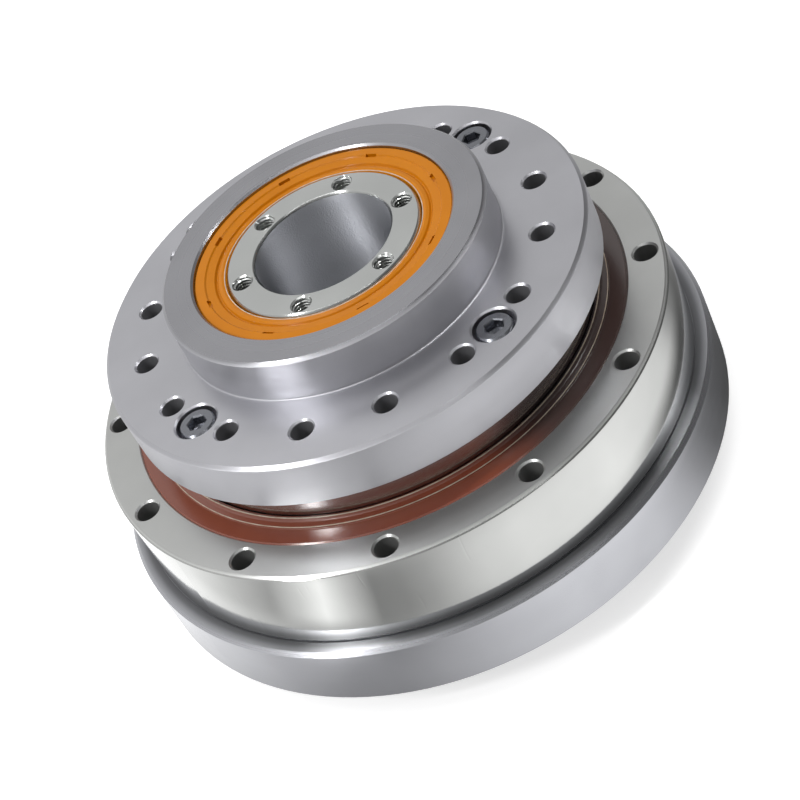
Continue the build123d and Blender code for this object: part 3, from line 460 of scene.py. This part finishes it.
# A threaded rod, from its tip at -Length up to its top at 0. Its rows climb with the helix, four to
# a turn: two along the root and two along the crest. The rows left over run out at both ends, where
# the thread flattens and the first and last rows close on the axis.
THREAD_SIDES, TURN_ROWS, END_ROWS = 32, 4.0, 10.0
thread = bpy.data.node_groups.new("rolled_thread", "GeometryNodeTree")
for name in ("Major Diameter", "Root Diameter", "Pitch", "Length"):
    thread.interface.new_socket(name, in_out="INPUT", socket_type="NodeSocketFloat")
thread.interface.new_socket("Geometry", in_out="OUTPUT", socket_type="NodeSocketGeometry")
size = add(thread, "NodeGroupInput").outputs
turns = {0: size["Length"], 1: size["Pitch"]}
turns = add(thread, "ShaderNodeMath", turns, operation="DIVIDE")
whole = add(thread, "ShaderNodeMath", {0: turns}, operation="ROUND")
rows = {0: whole, 1: TURN_ROWS, 2: END_ROWS}
rows = add(thread, "ShaderNodeMath", rows, operation="MULTIPLY_ADD")
last = add(thread, "ShaderNodeMath", {0: rows, 1: 1.0}, operation="SUBTRACT")
grid, around, angle, row = unrolled(thread, THREAD_SIDES, rows, last)
climb = {0: row, 1: 1 / TURN_ROWS, 2: -END_ROWS / 2 / TURN_ROWS}
climb = add(thread, "ShaderNodeMath", climb, operation="MULTIPLY_ADD")
climb = add(thread, "ShaderNodeMath", {0: climb, 1: around}, operation="ADD")
climb = add(thread, "ShaderNodeMath", {0: climb, 1: 0.0}, operation="MAXIMUM")
climb = add(thread, "ShaderNodeMath", {0: climb, 1: turns}, operation="MINIMUM")
left = add(thread, "ShaderNodeMath", {0: turns, 1: climb}, operation="SUBTRACT")
full = add(thread, "ShaderNodeMath", {0: climb, 1: left}, operation="MINIMUM")
full = add(thread, "ShaderNodeMath", {0: full, 1: 1.0}, operation="MINIMUM")
crest = add(thread, "ShaderNodeMath", {0: row, 1: 1.0}, operation="SUBTRACT")
crest = add(thread, "ShaderNodeMath", {0: crest, 1: TURN_ROWS}, operation="FLOORED_MODULO")
crest = add(thread, "ShaderNodeMath", {0: crest, 1: 1.5}, operation="GREATER_THAN")
crest = add(thread, "ShaderNodeMath", {0: crest, 1: full}, operation="MULTIPLY")
high = {0: size["Major Diameter"], 1: size["Root Diameter"]}
high = add(thread, "ShaderNodeMath", high, operation="SUBTRACT")
wide = {0: crest, 1: high, 2: size["Root Diameter"]}
wide = add(thread, "ShaderNodeMath", wide, operation="MULTIPLY_ADD")
not_first = add(thread, "ShaderNodeMath", {0: row, 1: 0.5}, operation="GREATER_THAN")
not_last = add(thread, "ShaderNodeMath", {0: row, 1: last}, operation="LESS_THAN")
wall = add(thread, "ShaderNodeMath", {0: not_first, 1: not_last}, operation="MULTIPLY")
half = add(thread, "ShaderNodeMath", {0: wall, 1: 0.5}, operation="MULTIPLY")
radius = add(thread, "ShaderNodeMath", {0: wide, 1: half}, operation="MULTIPLY")
tip = add(thread, "ShaderNodeMath", {0: size["Length"], 1: -1.0}, operation="MULTIPLY")
height = {0: climb, 1: size["Pitch"], 2: tip}
height = add(thread, "ShaderNodeMath", height, operation="MULTIPLY_ADD")
add(thread, "NodeGroupOutput", {"Geometry": wrapped(thread, grid, angle, radius, height)})

# The head's rows, from under it over the rim and down its key socket. Each is a share of the head's
# radius, the key's hexagon, the knurl's depth, the head's height and the socket's depth.
HEAD_ROWS = [
    (0, 0, 0, 0, 0), (0.94, 0, 0, 0, 0), (1, 0, 0, 0.05, 0), (1, 0, 0, 0.10, 0),
    (1, 0, 1, 0.14, 0), (1, 0, 1, 0.78, 0), (1, 0, 0, 0.82, 0), (1, 0, 0, 0.90, 0),
    (0.90, 0, 0, 1, 0), (0, 1.12, 0, 1, 0), (0, 1, 0, 1, 0.12), (0, 1, 0, 1, 1),
    (0, 0, 0, 1, 1.25),
]
HEAD_SIDES = 48
SCREW_SIZES = {
    "Major Diameter": 2.96 * MM, "Root Diameter": 2.45 * MM, "Pitch": 0.5 * MM,
    "Length": 10 * MM, "Head Diameter": 5.5 * MM, "Head Height": 3 * MM, "Key Width": 2.5 * MM,
    "Key Depth": 1.5 * MM, "Knurl Depth": 0.08 * MM, "Circle Diameter": 80 * MM,
    "First Angle": 0.0, "Seat Height": 0.0,
}
ROD_INSIDE = 0.5 * MM  # the rod's top sits this far up inside the head
SHARP_EDGE = math.radians(30)
screws = bpy.data.node_groups.new("socket_head_screws", "GeometryNodeTree")
sockets = [(name, "Float", value) for name, value in SCREW_SIZES.items()]
sockets += [("Count", "Int", 4), ("Seed", "Int", 0)]
sockets += [("Upside Down", "Bool", False), ("With Head", "Bool", True)]
for name, kind, value in sockets:
    made = screws.interface.new_socket(name, in_out="INPUT", socket_type=f"NodeSocket{kind}")
    made.default_value = value
screws.interface.new_socket("Material", in_out="INPUT", socket_type="NodeSocketMaterial")
screws.interface.new_socket("Geometry", in_out="OUTPUT", socket_type="NodeSocketGeometry")
size = add(screws, "NodeGroupInput").outputs
last = len(HEAD_ROWS) - 1.0
grid, around, angle, row = unrolled(screws, HEAD_SIDES, len(HEAD_ROWS), last)
shares = []
for column in zip(*HEAD_ROWS):
    pick = add(screws, "GeometryNodeIndexSwitch", {"Index": row}, data_type="FLOAT")
    for number, share in enumerate(column):
        if number > 1:
            pick.index_switch_items.new()
        pick.inputs[number + 1].default_value = share
    shares.append(pick)
rim_share, key_share, knurl_share, height_share, depth_share = shares
# The key's hexagon is its width over the cosine of the angle from the middle of the nearest flat.
corner = {0: angle, 1: math.pi / 6, 2: -math.pi / 6}
corner = add(screws, "ShaderNodeMath", corner, operation="WRAP")
corner = add(screws, "ShaderNodeMath", {0: corner}, operation="COSINE")
flats = add(screws, "ShaderNodeMath", {0: size["Key Width"], 1: corner}, operation="DIVIDE")
# The knurl cuts every second column in by its depth on both sides of the head.
flute = add(screws, "ShaderNodeMath", {0: around, 1: float(HEAD_SIDES)}, operation="MULTIPLY")
flute = add(screws, "ShaderNodeMath", {0: flute}, operation="ROUND")
flute = add(screws, "ShaderNodeMath", {0: flute, 1: 2.0}, operation="MODULO")
flute = add(screws, "ShaderNodeMath", {0: flute, 1: size["Knurl Depth"]}, operation="MULTIPLY")
flute = add(screws, "ShaderNodeMath", {0: flute, 1: -2.0}, operation="MULTIPLY")
wide = {0: size["Head Diameter"], 1: rim_share}
wide = add(screws, "ShaderNodeMath", wide, operation="MULTIPLY")
wide = {0: flats, 1: key_share, 2: wide}
wide = add(screws, "ShaderNodeMath", wide, operation="MULTIPLY_ADD")
wide = {0: flute, 1: knurl_share, 2: wide}
wide = add(screws, "ShaderNodeMath", wide, operation="MULTIPLY_ADD")
radius = add(screws, "ShaderNodeMath", {0: wide, 1: 0.5}, operation="MULTIPLY")
deep = {0: size["Key Depth"], 1: depth_share}
deep = add(screws, "ShaderNodeMath", deep, operation="MULTIPLY")
high = {0: size["Head Height"], 1: height_share}
high = add(screws, "ShaderNodeMath", high, operation="MULTIPLY")
height = add(screws, "ShaderNodeMath", {0: high, 1: deep}, operation="SUBTRACT")
head = wrapped(screws, grid, angle, radius, height)
under = add(screws, "ShaderNodeMath", {0: size["Length"], 1: ROD_INSIDE}, operation="ADD")
rod = {name: size[name] for name in ("Major Diameter", "Root Diameter", "Pitch")}
rod = add(screws, "GeometryNodeGroup", {**rod, "Length": under}, node_tree=thread)
rod = {"Geometry": rod, "Translation": (0, 0, ROD_INSIDE)}
rod = add(screws, "GeometryNodeTransform", rod)
both = add(screws, "GeometryNodeJoinGeometry", {"Geometry": head})
screws.links.new(rod.outputs[0], both.inputs[0])
choice = {"Switch": size["With Head"], "False": rod, "True": both}
one = add(screws, "GeometryNodeSwitch", choice, input_type="GEOMETRY")
far = add(screws, "ShaderNodeMath", {0: size["Circle Diameter"], 1: 0.5}, operation="MULTIPLY")
seats = add(screws, "GeometryNodeMeshCircle", {"Vertices": size["Count"], "Radius": far})
turned = {2: 0.0, 3: math.tau, "Seed": size["Seed"]}
turned = add(screws, "FunctionNodeRandomValue", turned, data_type="FLOAT").outputs[1]
turned = add(screws, "ShaderNodeCombineXYZ", {"Z": turned})
turned = add(screws, "FunctionNodeEulerToRotation", {0: turned})
placed = {"Points": seats, "Instance": one, "Rotation": turned}
placed = add(screws, "GeometryNodeInstanceOnPoints", placed)
over = add(screws, "ShaderNodeMath", {0: size["Upside Down"], 1: math.pi}, operation="MULTIPLY")
over = add(screws, "ShaderNodeCombineXYZ", {"X": over, "Z": size["First Angle"]})
over = add(screws, "FunctionNodeEulerToRotation", {0: over})
seat = add(screws, "ShaderNodeCombineXYZ", {"Z": size["Seat Height"]})
placed = {"Geometry": placed, "Translation": seat, "Rotation": over}
placed = add(screws, "GeometryNodeTransform", placed)
real = add(screws, "GeometryNodeRealizeInstances", {"Geometry": placed})
smooth = {"Geometry": real, "Shade Smooth": True}
smooth = add(screws, "GeometryNodeSetShadeSmooth", smooth)
fold = add(screws, "GeometryNodeInputMeshEdgeAngle")
fold = add(screws, "ShaderNodeMath", {0: fold, 1: SHARP_EDGE}, operation="GREATER_THAN")
sharp = {"Geometry": smooth, "Selection": fold, "Shade Smooth": False}
sharp = add(screws, "GeometryNodeSetShadeSmooth", sharp, domain="EDGE")
finish = {"Geometry": sharp, "Material": size["Material"]}
finish = add(screws, "GeometryNodeSetMaterial", finish)
add(screws, "NodeGroupOutput", {"Geometry": finish})

# Oiled screw steel: heat-blackened grade 12.9, so it is dark with a wet, uneven sheen.
screw_steel = turned_steel(
    "oiled_screw_steel", "#8a8c92", 0.26, feed=0.20, depth=0.001, stretch=0.0,
)
case_screws = grown(
    "threaded_case_screws", screws, count=4, circle_diameter=84 * MM, length=12 * MM,
    seat_height=9.3 * MM, upside_down=True, seed=3, material=screw_steel,
)
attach(case_screws, "case")
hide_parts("case_screws")

# === Circular spline and crossed roller bearing =================================================
# The neck carries the internal teeth at one end and turns with the cover. Two hardened inner rings
# are clamped to it, and rollers that cross each other in turn run between them and the outer ring.

# Hobbed gear steel: softer and greyer than the ground rings, with plain tool rings. The inner
# rings, which hardly show, share its look.
gear_steel = turned_steel(
    "hobbed_gear_steel", "#b9b9be", 0.28, feed=0.3, depth=0.001, stretch=0.3,
)
dress(gear_steel, "inner_ring_upper", "inner_ring_lower")
# Ground neck steel: the same metal where the seal's lip runs, finished with an emery band.
neck_steel = turned_steel(
    "ground_neck_steel", "#c6c5c6", 0.15, feed=0.3, depth=0.0004, stretch=0.8,
)
dress(neck_steel, "circular_spline")
# Lapped bearing steel: bright, with hardly a mark, so it mirrors its neighbours.
bearing_steel = turned_steel(
    "lapped_bearing_steel", "#d2d2d5", 0.10, feed=0.2, depth=0.0002, stretch=0.0,
)
dress(bearing_steel, "crossed_rollers")
# Glass-filled nylon: cream, matt and slightly mottled, as its fibres lie.
cage_nylon = moulded_rubber(
    "glass_filled_nylon", "#dcd6bf", "#cfc8ae", 0.50, 0.5, stretch=0.0, grain=0.006,
)
dress(cage_nylon, "roller_spacers")

# === Flexspline =================================================================================
# The thin toothed cup bends to an oval inside the circular spline. Its wide rim is held on the case
# by twelve M3 screws. The wave runs round the wall with the cam, so the wall rides on the input.
WALL_FOOT, WALL_GAP = 16.0 * MM, 0.02 * MM  # the cup is still round at this height
BLOCK = 100 * MM  # a cutting block wider than the cup


def welded_copy(name, node):
    """A CAD node's mesh as an object of its own, with its loose triangles joined."""
    made = bpy.data.objects.new(name, nodes[node].data.copy())
    bpy.context.scene.collection.objects.link(made)
    shape = bmesh.new()
    shape.from_mesh(made.data)
    bmesh.ops.remove_doubles(shape, verts=shape.verts, dist=0.0005 * MM)
    shape.to_mesh(made.data)
    shape.free()
    return made


def carved(made, cutters, operation):
    """Cuts the cutters away from a mesh, or keeps what they hold, and throws them away."""
    for cutter in cutters:
        cut = made.modifiers.new("cut", "BOOLEAN")
        cut.operation = operation
        cut.solver = "EXACT"
        cut.object = cutter
    baked(made).materials.clear()
    for cutter in cutters:
        bpy.data.objects.remove(cutter)


for name, operation, gap, body in (
    ("flexspline_rim", "DIFFERENCE", -WALL_GAP, "case"),
    ("waving_flexspline_wall", "INTERSECT", 0.0, "input"),
):
    made = welded_copy(name, "flexspline")
    middle = (0, 0, WALL_FOOT + gap + BLOCK / 2)
    bpy.ops.mesh.primitive_cube_add(size=BLOCK, location=middle)
    carved(made, [bpy.context.object], operation)
    made.data.materials.append(gear_steel)
    made.data.shade_smooth()
    made.data.set_sharp_from_angle(angle=SHARP_EDGE)
    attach(made, body)
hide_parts("flexspline")
flexspline_screws = grown(
    "threaded_flexspline_screws", screws, count=12, circle_diameter=63.526 * MM, length=6 * MM,
    seat_height=15 * MM, seed=5, material=screw_steel,
)
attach(flexspline_screws, "case")
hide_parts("flexspline_screws")

# === Hollow shaft ===============================================================================
# The input shaft is turned with its oval cam in one piece and ground on its seats. Both ends are
# tapped: six M3 holes face the output and six M2.5 holes face the input.

# Ground shaft steel: a light, clean face with close rings that sweep its highlights round.
shaft_steel = turned_steel(
    "ground_shaft_steel", "#ced0ce", 0.20, feed=0.25, depth=0.001, stretch=0.7,
)
# Honed bore steel: grainy from the stones, so each lamp draws one long streak down it. The grain
# is finer than this on a real bore, and is drawn as coarse as it needs to show.
bore_steel = turned_steel(
    "honed_bore_steel", "#bcbec4", 0.53, feed=0.8, depth=0.004, stretch=1.0, grain=(0.22, 0.06),
)
BORE = 10.6 * MM  # just past the bore's radius
# A wall's normal rises less than the first of these, and a flat end's more than the second.
UPRIGHT, LEVEL = 0.5, 0.999
TAP_CIRCLE, TAP_ANGLE = 25.5 * MM, math.radians(30)
# Sizes in mm. Each tap starts 0.4 mm outside its end face.
SHAFT_TAPS = [
    {"major_diameter": 3.0, "root_diameter": 2.54, "pitch": 0.5, "length": 5.4,
     "seat_height": 50.7 + 0.4},
    {"major_diameter": 2.5, "root_diameter": 2.09, "pitch": 0.45, "length": 4.6,
     "seat_height": 0.8 - 0.4},
]
shaft = welded_copy("tapped_shaft", "hollow_shaft")
taps = []
for sizes, from_below in zip(SHAFT_TAPS, (False, True)):
    sizes = {name: value * MM for name, value in sizes.items()}
    tap = grown(
        "tap", screws, with_head=False, count=6, circle_diameter=TAP_CIRCLE,
        upside_down=from_below, first_angle=TAP_ANGLE, seed=8, **sizes,
    )
    taps.append(tap)
carved(shaft, taps, "DIFFERENCE")
cut_shape = shaft.data
cut_shape.materials.append(shaft_steel)
cut_shape.materials.append(bore_steel)
for face in cut_shape.polygons:
    in_bore = math.hypot(face.center.x, face.center.y) < BORE and abs(face.normal.z) < UPRIGHT
    face.material_index = 1 if in_bore else 0
cut_shape.shade_smooth()
cut_shape.set_sharp_from_angle(angle=SHARP_EDGE)
for face in cut_shape.polygons:
    face.use_smooth = abs(face.normal.z) < LEVEL
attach(shaft, "input")
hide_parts("hollow_shaft")

# === Wave generator bearing =====================================================================
# The flexible bearing has thin races that follow the cam's oval, balls between them and a nylon
# cage, which snaps over the balls. It pushes the flexspline's teeth out at the oval's two ends.
dress(bearing_steel, "flex_bearing_inner_race", "flex_bearing_outer_race", "flex_bearing_balls")
dress(cage_nylon, "flex_bearing_cage")

# === Shaft bearings =============================================================================
# Two shielded deep groove ball bearings carry the shaft, one in the case and one in the cover.
# Their rings are ground, their cages are nylon, and their shields are pressed from thin sheet.

# Pressed shield steel: bright rolled sheet, a little uneven from the press.
shield_steel = turned_steel(
    "pressed_shield_steel", "#c4c4c8", 0.22, feed=0.6, depth=0.004, stretch=0.2,
)
for end in ("input", "output"):
    for part in ("outer_ring", "inner_ring", "balls"):
        dress(bearing_steel, f"{end}_bearing_{part}")
    dress(cage_nylon, f"{end}_bearing_cage")
    dress(shield_steel, f"{end}_bearing_shields")

# === Output cover ===============================================================================
# The cover is turned from bar, with a boss round its seal, sixteen bolt holes, and four screws that
# hold it to the circular spline and the inner rings.

# Turned cover steel: satin, a shade darker on the boss, which a rounder tool has faced.
cover_steel = turned_steel(
    "turned_cover_steel", "#d0d0d5", 0.30, feed=0.30, depth=0.0012, stretch=0.4,
    zones=[
        (0, 0.64, 0.9), (24.6, 0.66, 0.9), (24.9, 0.80, 1.6), (25.1, 0.85, 1.6), (25.6, 0.92, 1),
        (37.3, 0.92, 1), (37.45, 1.0, 1.5), (50, 1.0, 1.5),
    ],
    holes=(16, 11.25, 31, 1.7),
)
dress(cover_steel, "output_flange")
output_screws = grown(
    "threaded_output_screws", screws, count=4, circle_diameter=62 * MM, length=22 * MM,
    seat_height=41.2 * MM, seed=11, material=screw_steel,
)
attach(output_screws, "output")
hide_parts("output_screws")

# === Oil seals ==================================================================================
# An orange seal closes each end of the shaft, and a large brown one closes the gap round the neck.
# Each lip is pressed on by a garter spring, a closed ring of coiled wire.

# Orange nitrile rubber: glossy and strong in colour, browner where the mould was hotter.
orange_rubber = moulded_rubber(
    "orange_nitrile_rubber", "#c87a05", "#b56a03", 0.17, 0.22, stretch=0.5, grain=0.002,
)
dress(orange_rubber, "input_oil_seal", "output_oil_seal")
# Brown fluoro rubber: red-brown and glossy, and darkened on one stretch by painted shade. The
# bright lines on its lips are painted highlight, on the grease beads further down.
brown_rubber = moulded_rubber(
    "brown_fluoro_rubber", "#8c4a33", "#7c3c2a", 0.20, 1.0, stretch=0.6, grain=0.008,
    shaded_stretch=("#45332f", 122, 42),
)
dress(brown_rubber, "large_oil_seal")

# Drawn spring wire: hard and bright, with a dull line along each turn.
spring_wire = turned_steel(
    "drawn_spring_wire", "#a9a9ae", 0.25, feed=0.3, depth=0.001, stretch=0.0,
)
COIL_POINTS, WIRE_SIDES, WIRE_RADIUS = 9, 5, 0.11 * MM
spring = bpy.data.node_groups.new("garter_spring", "GeometryNodeTree")
for name in ("Ring Radius", "Coil Radius", "Wire Radius", "Height"):
    spring.interface.new_socket(name, in_out="INPUT", socket_type="NodeSocketFloat")
spring.interface.new_socket("Coils", in_out="INPUT", socket_type="NodeSocketInt")
spring.interface.new_socket("Geometry", in_out="OUTPUT", socket_type="NodeSocketGeometry")
size = add(spring, "NodeGroupInput").outputs
count = {0: size["Coils"], 1: float(COIL_POINTS)}
count = add(spring, "ShaderNodeMath", count, operation="MULTIPLY")
circle = {"Resolution": count, "Radius": size["Ring Radius"]}
circle = add(spring, "GeometryNodeCurvePrimitiveCircle", circle)
share = add(spring, "GeometryNodeSplineParameter").outputs["Factor"]
turns = add(spring, "ShaderNodeMath", {0: share, 1: size["Coils"]}, operation="MULTIPLY")
angle = add(spring, "ShaderNodeMath", {0: turns, 1: math.tau}, operation="MULTIPLY")
x = add(spring, "ShaderNodeMath", {0: angle}, operation="COSINE")
y = add(spring, "ShaderNodeMath", {0: angle}, operation="SINE")
x = add(spring, "ShaderNodeMath", {0: x, 1: size["Coil Radius"]}, operation="MULTIPLY")
y = {0: y, 1: size["Coil Radius"], 2: size["Height"]}
y = add(spring, "ShaderNodeMath", y, operation="MULTIPLY_ADD")
point = add(spring, "GeometryNodeInputPosition")
out = add(spring, "ShaderNodeVectorMath", {0: point}, operation="NORMALIZE")
out = add(spring, "ShaderNodeVectorMath", {0: out, "Scale": x}, operation="SCALE")
rise = add(spring, "ShaderNodeCombineXYZ", {"Z": y})
shift = add(spring, "ShaderNodeVectorMath", {0: out, 1: rise}, operation="ADD")
coil = add(spring, "GeometryNodeSetPosition", {"Geometry": circle, "Offset": shift})
wire = {"Resolution": WIRE_SIDES, "Radius": size["Wire Radius"]}
wire = add(spring, "GeometryNodeCurvePrimitiveCircle", wire)
solid = add(spring, "GeometryNodeCurveToMesh", {"Curve": coil, "Profile Curve": wire})
real = add(spring, "GeometryNodeRealizeInstances", {"Geometry": solid})
finish = add(spring, "GeometryNodeSetMaterial", {"Geometry": real, "Material": spring_wire})
add(spring, "NodeGroupOutput", {"Geometry": finish})
# Sizes in mm. The coils are drawn at twice their real pitch, which is under 0.4 mm.
SPRINGS = [
    ("coiled_large_spring", "large_seal_spring", "case", 35.96, 0.32, 27.3, 290),
    ("coiled_input_spring", "input_seal_spring", "case", 16.26, 0.24, 3.85, 150),
    ("coiled_output_spring", "output_seal_spring", "output", 16.26, 0.24, 47.65, 150),
]
for name, replaced, body, ring, coil, height, coils in SPRINGS:
    made = grown(
        name, spring, ring_radius=ring * MM, coil_radius=coil * MM, wire_radius=WIRE_RADIUS,
        height=height * MM, coils=coils,
    )
    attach(made, body)
    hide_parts(replaced)

# Lithium grease: a wet line that the lips have wiped up, mottled by ripples of this length and
# depth in mm. Its pale colour also stands in for the lips' bright lines, as a painted highlight.
RIPPLE, RIPPLE_DEPTH = 1.11, 0.02
grease_and_glint = bpy.data.materials.new("wiped_lithium_grease")
tree = new_tree(grease_and_glint)
place = add(tree, "ShaderNodeTexCoord").outputs["Object"]
ripple = {"Vector": place, "Scale": 1 / (RIPPLE * MM), "Detail": 2.0}
ripple = add(tree, "ShaderNodeTexNoise", ripple)
# The pale tones are partly the grease's own and partly painted highlight.
mix = {0: ripple, 6: linear("#a58a72"), 7: linear("#e6dac8")}
tint = add(tree, "ShaderNodeMix", mix, data_type="RGBA").outputs[2]
bump = {"Height": ripple, "Strength": 1.0, "Distance": RIPPLE_DEPTH * MM}
bump = add(tree, "ShaderNodeBump", bump)
skin = {"Base Color": tint, "Roughness": 0.22, "Normal": bump}
skin = add(tree, "ShaderNodeBsdfPrincipled", skin)
add(tree, "ShaderNodeOutputMaterial", {"Surface": skin})
RING_POINTS, BEAD_SIDES = 300, 6
bead = bpy.data.node_groups.new("grease_bead", "GeometryNodeTree")
for name in ("Ring Radius", "Bead Radius", "Height"):
    bead.interface.new_socket(name, in_out="INPUT", socket_type="NodeSocketFloat")
bead.interface.new_socket("Geometry", in_out="OUTPUT", socket_type="NodeSocketGeometry")
size = add(bead, "NodeGroupInput").outputs
circle = {"Resolution": RING_POINTS, "Radius": size["Ring Radius"]}
circle = add(bead, "GeometryNodeCurvePrimitiveCircle", circle)
rise = add(bead, "ShaderNodeCombineXYZ", {"Z": size["Height"]})
circle = add(bead, "GeometryNodeSetPosition", {"Geometry": circle, "Offset": rise})
profile = {"Resolution": BEAD_SIDES, "Radius": size["Bead Radius"]}
profile = add(bead, "GeometryNodeCurvePrimitiveCircle", profile)
solid = add(bead, "GeometryNodeCurveToMesh", {"Curve": circle, "Profile Curve": profile})
real = add(bead, "GeometryNodeRealizeInstances", {"Geometry": solid})
finish = add(bead, "GeometryNodeSetMaterial", {"Geometry": real, "Material": grease_and_glint})
add(bead, "NodeGroupOutput", {"Geometry": finish})
# Each bead's ring radius, own radius and height in mm.
BEADS = [
    ("grease_on_dust_lip", "case", "brown_rubber", 35.10, 0.10, 31.44),
    ("grease_on_main_lip", "case", "brown_rubber", 36.20, 0.08, 30.78),
    ("grease_on_input_lip", "case", "orange_rubber", 15.32, 0.08, 1.04),
    ("grease_on_output_lip", "output", "orange_rubber", 15.32, 0.08, 50.46),
]
for name, body, slot, ring, thickness, height in BEADS:
    made = grown(
        name, bead, ring_radius=ring * MM, bead_radius=thickness * MM, height=height * MM,
    )
    for face in made.data.polygons:
        face.use_smooth = True
    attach(made, body)
